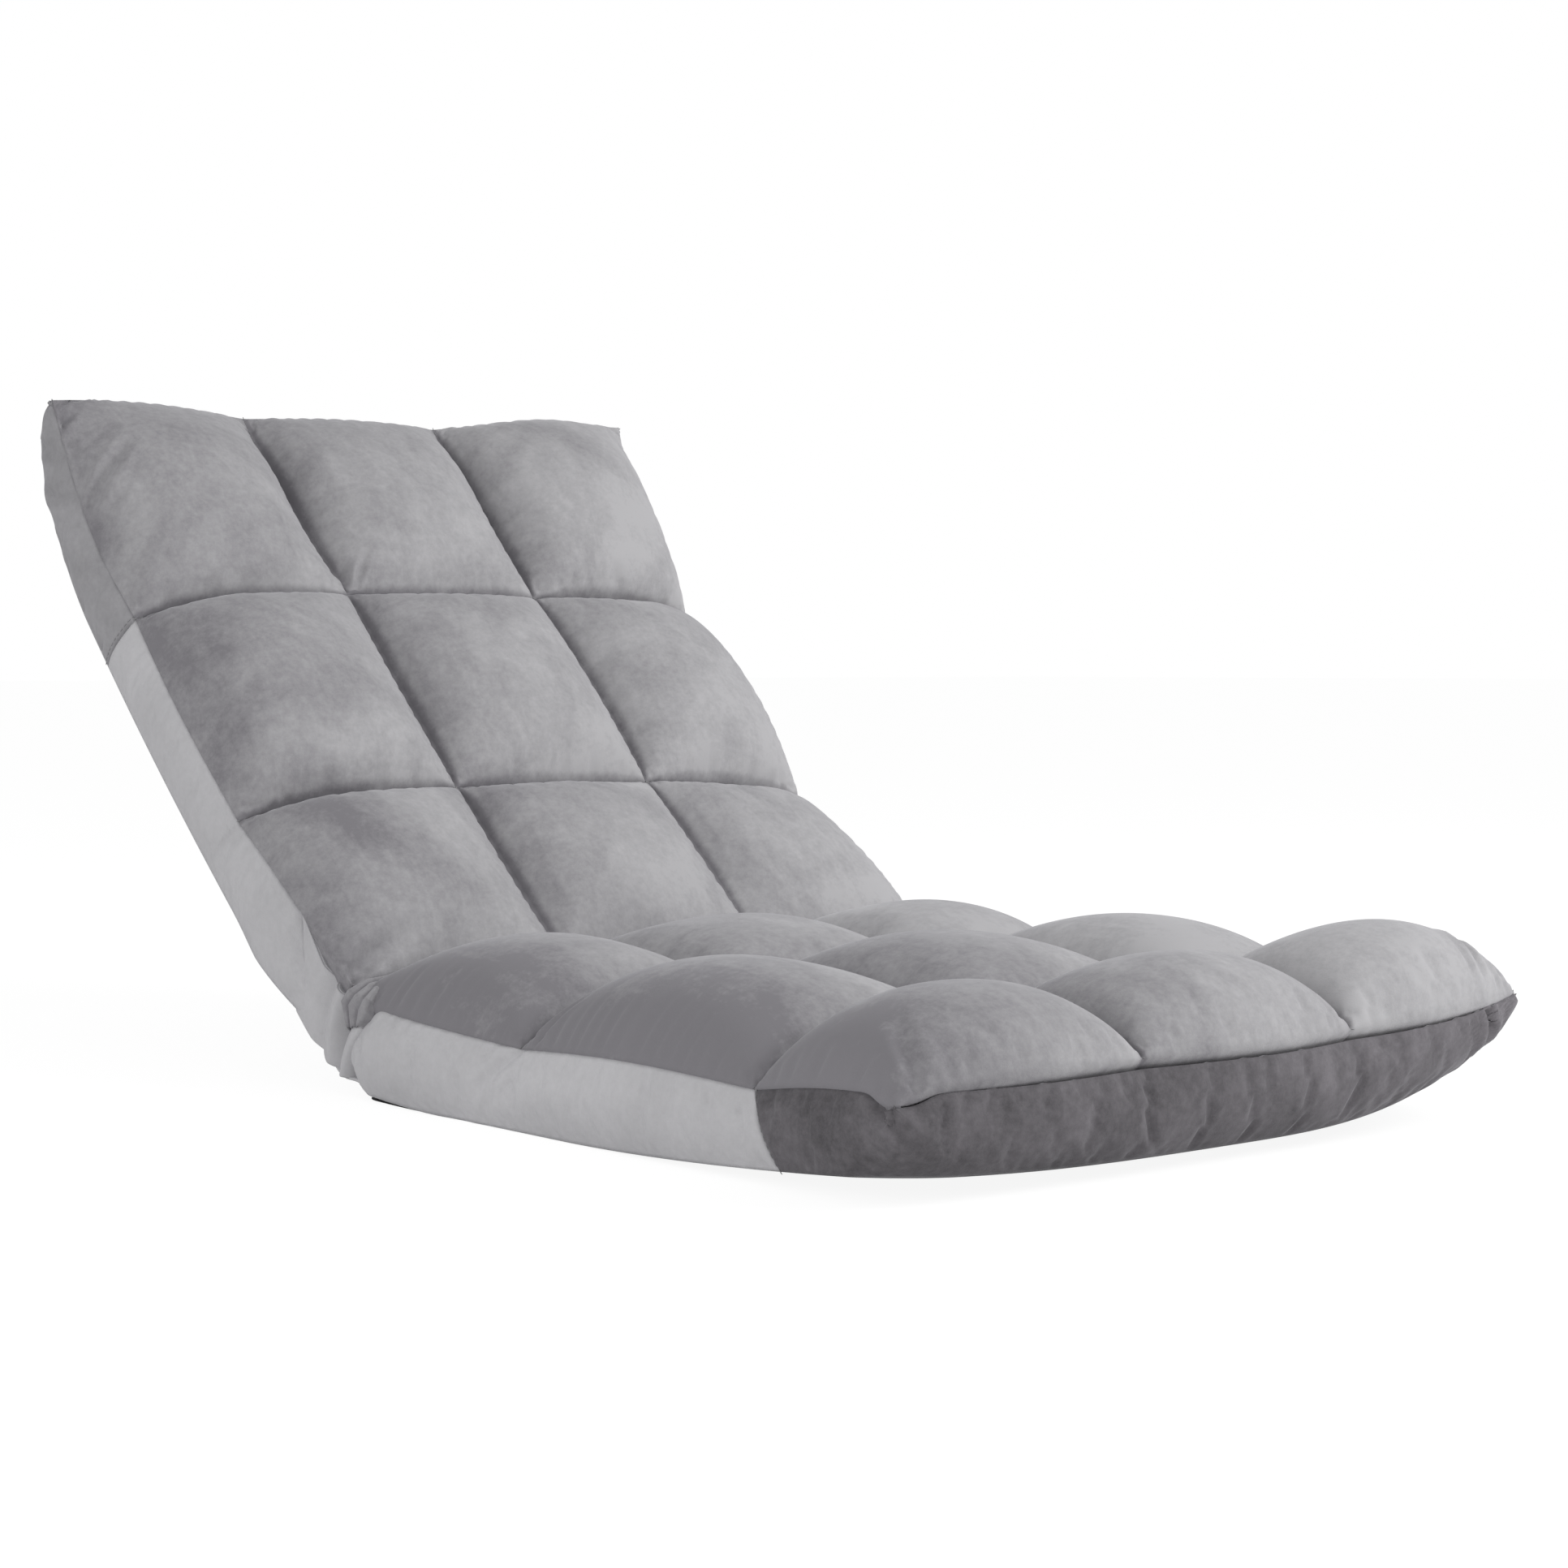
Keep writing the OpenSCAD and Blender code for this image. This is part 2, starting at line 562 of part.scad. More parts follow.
// Turns a shape drawn in s and h into a plate between two places along the hinge line
module plate(half, side, from_x, to_x) {
    low = min(own_side(half, side) * from_x, own_side(half, side) * to_x);
    place(half) translate([low + own_side(half, side) * hinge_x, 0, 0]) rotate([90, 0, 90])
        linear_extrude(abs(to_x - from_x)) children();
}
module cheek_shape() {
    difference() {
        union() {
            link_shape([0, 0], cheek_r, [cheek_rivet_s[1], -tube_drop], arm_r);
            link_shape([0, 0], cheek_r, pawl_pivot, arm_r);
        }
        circle(d = pin_d + 2 * run_gap, $fn = round_fn);
        translate(pawl_pivot) circle(d = rivet_d + 2 * run_gap, $fn = round_fn);
        for (s = cheek_rivet_s) translate([s, -tube_drop]) circle(d = rivet_d + 2 * run_gap, $fn = round_fn);
    }
}
module hinge_cheeks(side) {
    color(zinc) {
        plate(SEAT, side, cheek_inner, cheek_outer) cheek_shape();
        plate(SEAT, side, -cheek_inner, -cheek_outer) cheek_shape();
    }
}
module hinge_tang(side) {
    tang_t = 2 * (cheek_inner - steel_gap);
    tube_bore_r = tube_d / 2 - tube_wall;
    color(zinc) plate(SEAT, side, -tang_t / 2, tang_t / 2) difference() {
        union() {
            translate([tang_s, -tube_drop - tang_h / 2]) square([tube_start - steel_gap - tang_s, tang_h]);
            translate([tang_s, -tube_drop - tongue_h / 2]) square([tang_end - tang_s, tongue_h]);
        }
        for (s = cheek_rivet_s) translate([s, -tube_drop]) circle(d = rivet_d + 2 * run_gap, $fn = round_fn);
        for (s = tang_rivet_s) translate([s, -tube_drop])
            circle(d = tube_rivet_d + 2 * run_gap, $fn = round_fn);
    }
}
// Ratchet plate: teeth opposite its arm, and a tongue inside the backrest tube
tooth_pitch = 16;
tooth_first = 92;
module ratchet_plate(side) {
    root_r = tooth_tip_r - tooth_h;
    color(zinc) plate(BACK, side, -ratchet_t / 2, ratchet_t / 2) difference() {
        union() {
            circle(root_r, $fn = round_fn);
            link_shape([0, 0], arm_r, arm_end, arm_r);
            translate([arm_end[0], -tube_drop - tongue_h / 2]) square([tang_end - arm_end[0], tongue_h]);
            for (i = [0:tooth_count]) rotate(tooth_first + i * tooth_pitch)
                polygon([[0, 0], [root_r, -root_r * sin(tooth_pitch) / 2], [tooth_tip_r, 0], [root_r, 0]]);
        }
        circle(d = bush_d + 2 * run_gap, $fn = round_fn);
        for (s = tang_rivet_s) translate([s, -tube_drop])
            circle(d = tube_rivet_d + 2 * run_gap, $fn = round_fn);
    }
}
bush_d = pin_d + 2 * (run_gap + bush_wall);
module hinge_bush(side) {
    color(nylon) plate(BACK, side, -ratchet_t / 2, ratchet_t / 2) difference() {
        circle(d = bush_d, $fn = round_fn);
        circle(d = pin_d + 2 * run_gap, $fn = round_fn);
    }
}
// Pin with a flat head on each outer face of the cheeks
module headed_pin(side, at, d, head_d, head_t, reach) {
    color(zinc) place(SEAT) translate([own_side(SEAT, side) * hinge_x, at[0], at[1]]) rotate([0, 90, 0]) {
        cylinder(d = d, h = 2 * (reach + steel_gap + head_t), center = true, $fn = round_fn);
        for (end = [-1, 1]) translate([0, 0, end * (reach + steel_gap + head_t / 2)])
            cylinder(d = head_d, h = head_t, center = true, $fn = round_fn);
    }
}
module hinge_pin(side) {
    headed_pin(side, [0, 0], pin_d, pin_head_d, pin_head_t, cheek_outer);
}
pin_head_d = 15;
pin_head_t = 2;
rivet_head_d = 8;
rivet_head_t = 1.5;
module pawl_pin(side) {
    headed_pin(side, pawl_pivot, rivet_d, rivet_head_d, rivet_head_t, cheek_outer);
}
module cheek_rivets() {
    for (side = [LEFT, RIGHT], s = cheek_rivet_s)
        headed_pin(side, [s, -tube_drop], rivet_d, rivet_head_d, rivet_head_t, cheek_outer);
}
module pawl(side) {
    color(zinc) plate(SEAT, side, -ratchet_t / 2, ratchet_t / 2) difference() {
        link_shape(pawl_pivot, pawl_eye_r, pawl_nose, pawl_nose_r);
        translate(pawl_pivot) circle(d = rivet_d + 2 * run_gap, $fn = round_fn);
    }
}
// Leaf spring on the tang that presses the pawl towards the teeth
leaf_t = 0.8;
leaf_w = 4;
leaf_foot = 16;
module pawl_spring(side) {
    foot_h = -tube_drop + tang_h / 2 + steel_gap;
    tip = mix(pawl_pivot, pawl_nose, 0.5) + [pawl_eye_r, -2 * leaf_t];
    path = [[tang_s + leaf_foot, foot_h], [tang_s, foot_h], tip];
    color(zinc) plate(SEAT, side, -leaf_w / 2, leaf_w / 2)
        polygon([path[0], path[1], path[2], path[2] + [leaf_t, leaf_t], path[1] + [leaf_t, leaf_t],
            path[0] + [0, leaf_t]]);
}
// Rivets through a tube and the plate inside it
module tube_rivets(half) {
    color(zinc) place(half)
        for (side = [-1, 1], s = tang_rivet_s) translate([side * hinge_x, s, -tube_drop]) rotate([0, 90, 0])
            cylinder(d = tube_rivet_d, h = tube_d + 2 * soft_gap, center = true, $fn = round_fn);
}

// Places in the side view of the chair, y and z, of a point given along a half
function seat_yz(s, h) = [hinge_y - s, hinge_h + h];
function back_yz(s, h) = [hinge_y + s * cos(back_lean) - h * sin(back_lean),
    hinge_h + s * sin(back_lean) + h * cos(back_lean)];

// Fold gussets: pleated cloth that closes the side of the fold
gusset_cells = 18;
gusset_rows = 3;
pleat_depth = 2.5;
pleat_count = 4;
// Share of a pleat's depth wave that is cut off at the gusset's top and bottom
pleat_edge_share = 0.15;
gusset_t = 2;
fold_clear = 2.8;
gusset_drop = panel_drop + edge_t;
gusset_fold_s = (fold_seam_h - gusset_drop) * fold_slope;
function gusset_top(k) =
    let (
        half = k < 0.5 ? SEAT : BACK,
        s = mix(gusset_fold_s, panel_end_s[half][0] - fold_clear, abs(2 * k - 1)),
        h = seam_h(half, s) - gusset_drop
    )
    half == SEAT ? seat_yz(s, h) : back_yz(s, h);
function gusset_low(k) =
    let (
        half = k < 0.5 ? SEAT : BACK,
        last_s = panel_end_s[half][1] - fold_clear,
        share = abs(2 * k - 1),
        s = mix(-cheek_r * fold_slope, last_s, share),
        h = mix(-cheek_r, panel_bottom(half, last_s), share)
    )
    half == SEAT ? seat_yz(s, h) : back_yz(s, h);
function gusset_point(k, t, depth) =
    let (
        p = mix(gusset_top(k), gusset_low(k), t),
        half = k < 0.5 ? SEAT : BACK,
        base_x = side_x(half, panel_end_s[half][0] * abs(2 * k - 1)),
        wave = hump(mix(pleat_edge_share, 1 - pleat_edge_share, t)),
        out = pleat_depth * sin(360 * pleat_count * k) * wave
    )
    [base_x - pleat_depth + out - depth, p[0], p[1]];
module fold_gusset(side) {
    outer = [for (i = [0:gusset_cells])
        [for (j = [0:gusset_rows]) gusset_point(i / gusset_cells, j / gusset_rows, 0)]];
    inner = [for (i = [0:gusset_cells])
        [for (j = [0:gusset_rows]) gusset_point(i / gusset_cells, j / gusset_rows, gusset_t)]];
    color(velvet) mirror([side > 0 ? 0 : 1, 0, 0]) grid_solid(outer, inner);
}

// Cloth strip that closes the fold from below, a shallow curve between the two flat covers
under_cells = 8;
under_slack = 3;
under_t = 1.5;
module fold_under_cover() {
    seat_end = [for (h = [0, cloth_t]) seat_yz(underside_start - soft_gap, cover_bottom(SEAT) + h)];
    back_end = [for (h = [0, cloth_t]) back_yz(rear_cover_start - soft_gap, cover_bottom(BACK) + h)];
    first = (seat_end[0] + seat_end[1]) / 2;
    last = (back_end[0] + back_end[1]) / 2;
    along = (last - first) / norm(last - first);
    inward = [-along[1], along[0]];
    middle = [for (i = [1:under_cells - 1])
        mix(first, last, i / under_cells) + inward * under_slack * hump(i / under_cells)];
    outline = concat([seat_end[0]], [for (p = middle) p - inward * under_t / 2], back_end,
        [for (i = [len(middle) - 1:-1:0]) middle[i] + inward * under_t / 2], [seat_end[1]]);
    width = chair_w - 2 * (draw_in + 2 * pleat_depth + gusset_t + soft_gap);
    color(velvet) rotate([90, 0, 90]) translate([0, 0, -width / 2]) linear_extrude(width) polygon(outline);
}

frame_tube(SEAT);  // seat_frame
cross_tube(SEAT);  // seat_cross_tube
webbing(SEAT);  // seat_webbing
lower_foam(SEAT);  // seat_lower_foam
upper_foam(SEAT);  // seat_upper_foam
quilt_backing(SEAT);  // seat_quilt_backing
quilt_row(SEAT, 0);  // seat_quilt_rear
quilt_row(SEAT, 1);  // seat_quilt_middle
quilt_row(SEAT, 2);  // seat_quilt_front
tuft_ties(SEAT);  // seat_tuft_ties
side_panel(SEAT, LEFT);  // seat_side_panel_left
side_panel(SEAT, RIGHT);  // seat_side_panel_right
end_wrap(SEAT);  // seat_front_wrap
underside_cloth();  // seat_underside_cloth
frame_tube(BACK);  // back_frame
cross_tube(BACK);  // back_cross_tube
webbing(BACK);  // back_webbing
lower_foam(BACK);  // back_rear_foam
upper_foam(BACK);  // back_front_foam
quilt_backing(BACK);  // back_quilt_backing
quilt_row(BACK, 0);  // back_quilt_lower
quilt_row(BACK, 1);  // back_quilt_middle
quilt_row(BACK, 2);  // back_quilt_top
tuft_ties(BACK);  // back_tuft_ties
side_panel(BACK, LEFT);  // back_side_panel_left
side_panel(BACK, RIGHT);  // back_side_panel_right
end_wrap(BACK);  // back_top_wrap
rear_cover();  // back_rear_cover
hinge_cheeks(LEFT);  // hinge_cheeks_left
hinge_cheeks(RIGHT);  // hinge_cheeks_right
hinge_tang(LEFT);  // hinge_tang_left
hinge_tang(RIGHT);  // hinge_tang_right
ratchet_plate(LEFT);  // ratchet_plate_left
ratchet_plate(RIGHT);  // ratchet_plate_right
hinge_bush(LEFT);  // hinge_bush_left
hinge_bush(RIGHT);  // hinge_bush_right
hinge_pin(LEFT);  // hinge_pin_left
hinge_pin(RIGHT);  // hinge_pin_right
pawl(LEFT);  // pawl_left
pawl(RIGHT);  // pawl_right
pawl_pin(LEFT);  // pawl_pin_left
pawl_pin(RIGHT);  // pawl_pin_right
pawl_spring(LEFT);  // pawl_spring_left
pawl_spring(RIGHT);  // pawl_spring_right
cheek_rivets();
tube_rivets(SEAT);  // seat_frame_rivets
tube_rivets(BACK);  // back_frame_rivets
fold_gusset(LEFT);  // fold_gusset_left
fold_gusset(RIGHT);  // fold_gusset_right
fold_under_cover();
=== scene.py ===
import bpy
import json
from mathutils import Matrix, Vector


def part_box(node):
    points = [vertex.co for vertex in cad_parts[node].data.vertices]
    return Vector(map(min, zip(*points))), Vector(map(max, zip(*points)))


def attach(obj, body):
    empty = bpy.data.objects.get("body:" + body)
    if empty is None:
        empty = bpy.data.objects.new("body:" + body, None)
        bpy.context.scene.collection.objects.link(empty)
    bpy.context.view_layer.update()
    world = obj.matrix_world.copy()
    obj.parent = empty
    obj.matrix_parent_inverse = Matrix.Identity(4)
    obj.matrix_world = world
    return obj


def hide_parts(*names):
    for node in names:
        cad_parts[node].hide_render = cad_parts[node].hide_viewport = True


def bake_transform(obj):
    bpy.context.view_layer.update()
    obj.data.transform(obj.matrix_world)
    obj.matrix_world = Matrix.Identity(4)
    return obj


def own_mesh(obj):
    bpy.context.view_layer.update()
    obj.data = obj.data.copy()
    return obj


bl_info = {
    "name": "Folding Floor Chair",
    "version": (1, 0, 0),
    "blender": (4, 5, 0),
    "location": "View3D > Sidebar > Floor Chair",
    "description": "Upholsters the folding floor chair in quilted velvet, around its packed frame",
    "category": "Add Mesh",
}

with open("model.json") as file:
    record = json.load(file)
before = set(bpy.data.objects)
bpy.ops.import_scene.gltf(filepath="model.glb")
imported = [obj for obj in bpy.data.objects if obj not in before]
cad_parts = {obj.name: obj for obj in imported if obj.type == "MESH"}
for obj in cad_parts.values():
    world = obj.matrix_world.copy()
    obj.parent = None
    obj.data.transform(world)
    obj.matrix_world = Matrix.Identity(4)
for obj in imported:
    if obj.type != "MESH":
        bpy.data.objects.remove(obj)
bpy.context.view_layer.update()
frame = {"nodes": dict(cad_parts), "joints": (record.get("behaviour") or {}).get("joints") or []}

import json
import math

import bmesh
import bpy
import numpy as np
from bpy.props import FloatProperty, FloatVectorProperty, IntProperty, PointerProperty
from mathutils import Euler, Vector

FOLD = next(joint for joint in frame["joints"] if joint["name"] == "backrest_fold")
HINGE_Y, HINGE_Z = FOLD["pos_m"][1:]
QUILT_LOW, QUILT_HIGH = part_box("seat_quilt_rear")


# Sizes and colours that a user would change

class ChairSizes(bpy.types.PropertyGroup):
    """Sizes of the upholstery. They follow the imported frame."""
    width: FloatProperty(
        name="Width", description="Width across the side seams", unit="LENGTH",
        default=QUILT_HIGH.x - QUILT_LOW.x)
    back_lean: FloatProperty(
        name="Back lean", description="Angle of the backrest above the floor", subtype="ANGLE",
        default=math.radians(44))
    seat_rows: FloatVectorProperty(
        name="Seat rows", description="Depths of the seat's quilted rows, from the fold", size=3,
        unit="LENGTH", default=(0.2, 0.22, 0.142))
    back_rows: FloatVectorProperty(
        name="Back rows", description="Heights of the backrest's quilted rows, from the fold", size=3,
        unit="LENGTH", default=(0.186, 0.202, 0.212))
    centre_column: FloatProperty(
        name="Centre column", description="Width of the middle column of pillows", unit="LENGTH",
        default=0.176)
    swell: FloatProperty(
        name="Swell", description="How far the filling lifts the crests of the pillows", unit="LENGTH",
        default=0.007)
    tuft: FloatProperty(
        name="Tuft", description="Height of the sewn tufts above the hinge axis", unit="LENGTH",
        default=0.024)
    crease: FloatProperty(
        name="Crease", description="Height of the crease at the fold above the hinge axis", unit="LENGTH",
        default=0.036)
    draw_in: FloatProperty(
        name="Draw in", description="How far the sides draw in at the quilt lines", unit="LENGTH",
        default=0.007)
    bulge: FloatProperty(
        name="Boxing bulge", description="How far the boxing panels bulge between their edges",
        unit="LENGTH", default=0.003)


class ChairFilling(bpy.types.PropertyGroup):
    """How the filling swells the covers in the cloth simulation."""
    pressure: FloatProperty(name="Pressure", description="Pressure of the filling on the cover", default=260)
    slack: FloatProperty(
        name="Slack", description="Share by which the cover is cut larger than the form under it",
        subtype="FACTOR", default=0.022)
    frames: IntProperty(name="Frames", description="Frames of simulation", default=20)
    most: FloatProperty(
        name="Cap", description="Furthest that a point of the cover may move", unit="LENGTH", default=0.016)


class ChairColours(bpy.types.PropertyGroup):
    """Colours of the cloths and metals."""
    # the quilts' two tones: the pile's mottling and the painted light and shade across each pillow run
    # between them
    pile_dark_and_painted_shade: FloatVectorProperty(
        name="Pile, brushed down", description="Velvet where its pile lies towards the eye",
        subtype="COLOR", size=3, default=(0.22, 0.213, 0.229))
    pile_light_and_painted_light: FloatVectorProperty(
        name="Pile, brushed up", description="Velvet where its pile lies away from the eye",
        subtype="COLOR", size=3, default=(0.48, 0.475, 0.488))
    boxing: FloatVectorProperty(
        name="Side boxing", description="Light velvet of the side panels", subtype="COLOR", size=3,
        default=(0.54, 0.535, 0.552))
    wrap: FloatVectorProperty(
        name="Front boxing", description="Dark velvet round the front of the seat", subtype="COLOR", size=3,
        default=(0.124, 0.117, 0.126))
    top_wrap: FloatVectorProperty(
        name="Top boxing", description="Velvet round the top of the backrest", subtype="COLOR", size=3,
        default=(0.325, 0.32, 0.334))
    underside: FloatVectorProperty(
        name="Underside", description="Black cloth under the seat", subtype="COLOR", size=3,
        default=(0.012, 0.012, 0.013))
    thread: FloatVectorProperty(
        name="Thread", description="Sewing thread", subtype="COLOR", size=3, default=(0.36, 0.36, 0.37))


def sizes():
    return bpy.context.scene.chair_sizes


# Shape rules shared by both halves. Each half is drawn flat: x across, s along from the hinge line,
# h up from the hinge axis. The numbers are metres.

TINY = 1e-6
# keeps a length that something is divided by above nothing
LEAST_LENGTH = 1e-9
SEAM_SAG = 0.005
SOFT_GAP = 0.0003
CLOTH_T = 0.0012
CORNER_BACK = 0.012
CORNER_POINT = 0.003
EVEN_IN = 0.002
FOLD_SEAM = 0.028
PANEL_LOW = -HINGE_Z + 0.0004
CAD_CURL_START = 0.456
LOW_SIDE_POWER = 3.0
LOW_CURL_POWER = 1.8
LOW_BULGE_START = 0.1
LOW_BULGE_LENGTH = 0.42
LIP_REACH = 0.021
PILLOW_FULL = 2.15
FOLD_RISE_POWER = 0.52
# share of an outer column from which, over half its width, its pillow turns to the side's softer form
SIDE_FROM = 0.35
TAPER_X = 0.174
LAYERS_DEEP = 0.048


def clamp01(v):
    return np.clip(v, 0, 1)


def mix(a, b, t):
    return a + (b - a) * t


def hump(t):
    return np.sin(np.pi * clamp01(t))


def dome(t):
    """Squarer than a half circle: 0 at both ends of a share, 1 in its middle."""
    return (1 - np.minimum(1, np.abs(2 * t - 1)) ** PILLOW_FULL) ** (1 / PILLOW_FULL)


def smooth(t):
    t = clamp01(t)
    return t * t * (3 - 2 * t)


class Half:
    """The seat or the backrest, with the rules that its covers follow.

    curls: rise of the end seam at the right side, in the middle and at the left, past curl_start
    low_curls, low_starts, low_bulge: the same for the underside, and how far it hangs
    crests, shoulders: each row's pillows, from the right to the left, and how full their sides are
    panel_ends: where the side panels start, from their seam down to their hem
    lies: painted light and shade at the right and the left side of each column of pillows
    """

    def __init__(self, body, rows, **rules):
        self.body = body
        self.rows = list(rows)
        self.lines = [0, rows[0], rows[0] + rows[1], sum(rows)]
        self.length = sum(rows)
        for name, value in rules.items():
            setattr(self, name, value)

    def world(self, p):
        """Places points (..., 3) of the flat drawing in the chair's frame."""
        x, s, h = p[..., 0], p[..., 1], p[..., 2]
        if self.body == "seat":
            return np.stack([x, HINGE_Y - s, HINGE_Z + h], -1)
        c, k = math.cos(sizes().back_lean), math.sin(sizes().back_lean)
        return np.stack([x, HINGE_Y + s * c - h * k, HINGE_Z + s * k + h * c], -1)

    def row_share(self, s):
        """Share of its own row that s has crossed."""
        l = self.lines
        return np.where(
            s < l[1], s / self.rows[0],
            np.where(s < l[2], (s - l[1]) / self.rows[1], (s - l[2]) / self.rows[2]))

    def curl(self, x, s):
        """How far the end seam curls up. The right side, the middle and the left differ."""
        right, centre, left = self.curls
        side = np.where(x > 0, left, right)
        height = mix(centre, side, np.abs(2 * x / sizes().width) ** self.curl_power)
        return height * (np.maximum(0, s - self.curl_start) / (self.length - self.curl_start)) ** 2

    def low_curl(self, x, s):
        """How far the underside curls up."""
        rises = []
        for height, start in zip(self.low_curls, self.low_starts):
            rises.append(height * (np.maximum(0, s - start) / (self.length - start)) ** LOW_CURL_POWER)
        side = np.where(x > 0, rises[2], rises[0])
        bulge = self.low_bulge * hump((s - LOW_BULGE_START) / LOW_BULGE_LENGTH)
        return mix(rises[1], side, np.abs(2 * x / sizes().width) ** LOW_SIDE_POWER) - bulge

    def seam_h(self, x, s):
        """Height of the side seam, or of the end seam."""
        share = clamp01(self.row_share(s))
        fall = (1 - share ** self.fall_powers[0]) ** self.fall_powers[1]
        level = self.seam - SEAM_SAG + SEAM_SAG * hump(share)
        seam = mix(level, FOLD_SEAM, np.where(s < self.lines[1], fall, 0)) + self.curl(x, s)
        for side, lip in zip((-1, 1), self.lips):
            corner = np.hypot(x - side * sizes().width / 2, s - self.length)
            seam = seam - lip * np.exp(-(corner / LIP_REACH) ** 4)
        return seam

    def side_x(self, s):
        """Half width of the cover, which draws in at the quilt lines and points out at the end."""
        share = self.row_share(s)
        drawn = sizes().draw_in * (1 - hump(share))
        at_end = (s > self.lines[2]) & (share > 0.5)
        return sizes().width / 2 - np.where(at_end, -CORNER_POINT * (1 - hump(share)), drawn)

    def end_s(self, x):
        """Place of the end seam, which draws in at the columns and sits back at the corners."""
        edges = column_edges()
        c = np.clip(np.searchsorted(edges, x, side="right") - 1, 0, 2)
        share = (x - edges[c]) / (edges[c + 1] - edges[c])
        return (self.length - sizes().draw_in * (1 - hump(share))
                - CORNER_BACK * np.abs(2 * x / sizes().width) ** 4)

    def sewn_place(self, x, s):
        """Where on the flat quilt a point of its border was, before its sides and corners drew in."""
        flat_x = x * sizes().width / 2 / self.side_x(s)
        flat_x = np.clip(flat_x, -sizes().width / 2, sizes().width / 2)
        last = self.lines[2]
        share = (s - last) / (self.end_s(flat_x) - last)
        return flat_x, np.where(s > last, last + np.minimum(share, 1) * self.rows[2], s)

    def panel_x(self, s, t):
        """Half width at share t down the boxing, where the drawn-in places even out."""
        even = smooth(t) * smooth((s - self.rows[0] / 2) / (self.rows[0] / 3))
        return mix(self.side_x(s), sizes().width / 2 - EVEN_IN, even)

    def panel_end_s(self, x, t):
        """Place of the end at share t down the boxing."""
        even = self.length - EVEN_IN - CORNER_BACK * np.abs(2 * x / sizes().width) ** 4
        return mix(self.end_s(x), even, smooth(2 * t))

    def line_h(self, x, s):
        """Height of the sewn column lines."""
        share = self.row_share(s)
        first = mix(sizes().crease, sizes().tuft, share)
        last = mix(sizes().tuft, self.seam, share) + self.curl(x, s)
        return np.where(s < self.lines[1], first, np.where(s < self.lines[2], sizes().tuft, last))

    def sewn_h(self, x, s):
        w, c = sizes().width, sizes().centre_column
        inner = np.sin(np.pi / 2 * clamp01((w / 2 - np.abs(x)) * 2 / (w - c)))
        return mix(self.seam_h(x, s), self.line_h(x, s), inner)

    def crest_h(self, x, s, row):
        """Height that the pillows of a row rise to."""
        column = np.clip((x + sizes().centre_column) / sizes().centre_column, 0, 2)
        return np.interp(column, [0, 1, 2], self.crests[row]) + self.curl(x, s)

    def column_rise(self, x, row):
        """Rise across the pillows of a row: full between the columns, softer at the outer sides."""
        w, c = sizes().width, sizes().centre_column
        share = np.interp(x, column_edges(), [0, 1, 2, 3]) % 1
        outer = clamp01(2 * ((np.abs(x) - c / 2) / (w / 2 - c / 2) - SIDE_FROM))
        side = np.where(x > 0, self.shoulders[row][1], self.shoulders[row][0])
        return mix(dome(share), hump(share) ** side, smooth(outer))

    def row_rise(self, x, row, share):
        """Rise along a row: full between the rows, softer at the fold and tapered at the end."""
        if row == 0 and share < 0.5:
            return hump(share) ** FOLD_RISE_POWER + 0 * x
        if row == 2 and share > 0.5:
            return hump(share) ** np.interp(x, [-TAPER_X, 0, TAPER_X], self.end_tapers)
        return dome(share) + 0 * x

    def solid_curl(self, s):
        """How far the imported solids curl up."""
        return self.cad_curl * (np.maximum(0, s - CAD_CURL_START) / (self.length - CAD_CURL_START)) ** 2

    def layer_rise(self, x, s, h):
        """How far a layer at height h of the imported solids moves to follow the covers' curl."""
        cad = self.solid_curl(s)
        level = clamp01((h - cad + HINGE_Z) / LAYERS_DEEP)
        return mix(self.low_curl(x, s), self.curl(x, s), level) - cad


def column_edges():
    w, c = sizes().width / 2, sizes().centre_column / 2
    return np.array([-w, -c, c, w])


def make_halves():
    s = sizes()
    return {
        "seat": Half(
            "seat", s.seat_rows, seam=0.01, curls=(0.011, 0.011, 0.026), curl_start=0.4, curl_power=2.2,
            low_curls=(0.019, 0.009, 0.074), low_starts=(0.25, 0.3, 0.37), cad_curl=0.011, fall_powers=(1, 3),
            crests=((0.061, 0.062, 0.067), (0.061, 0.064, 0.07), (0.063, 0.068, 0.076)),
            shoulders=((0.62, 0.62), (0.62, 0.62), (0.62, 0.45)),
            end_tapers=(0.48, 0.5, 0.42), core_top=-0.004,
            panel_ends=(0.049, 0.034, 0.022, 0.012, 0.011, 0.027), slant=0.028, lift=0.0, low_bulge=0.0,
            lips=(0.006, 0.0), end_roll=0.003,
            # lies: painted light and shade across each column of pillows
            lies=((-0.49, 0.48), (-0.08, 0.06), (0.42, -0.12))),
        "back": Half(
            "backrest", s.back_rows, seam=0.003, curls=(0.042, 0.019, 0.05), curl_start=0.43,
            curl_power=2.5, low_curls=(0.042, 0.022, 0.046), low_starts=(0.43, 0.43, 0.43), cad_curl=0.04,
            fall_powers=(2, 1.2),
            crests=((0.059, 0.06, 0.044), (0.06, 0.06, 0.057), (0.057, 0.053, 0.071)),
            shoulders=((0.62, 1.0), (0.62, 0.66), (0.62, 0.45)), end_tapers=(1.15, 0.95, 0.8),
            core_top=-0.009, panel_ends=(0.082, 0.069, 0.055, 0.042, 0.032, 0.026), slant=0.0, lift=0.0008,
            low_bulge=0.0062, lips=(0.0, 0.0), end_roll=0.004,
            # lies: painted light and shade across each column of pillows
            lies=((-0.05, 0.45), (-0.01, 0.23), (-0.05, 0.18))),
    }


# Grids of points, each an array of shape (rows, columns, 3)

def eased(count, strength=0.5):
    """Shares from 0 to 1 that lie closer together near both ends."""
    t = np.linspace(0, 1, count + 1)
    return t - strength * np.sin(2 * np.pi * t) / (2 * np.pi)


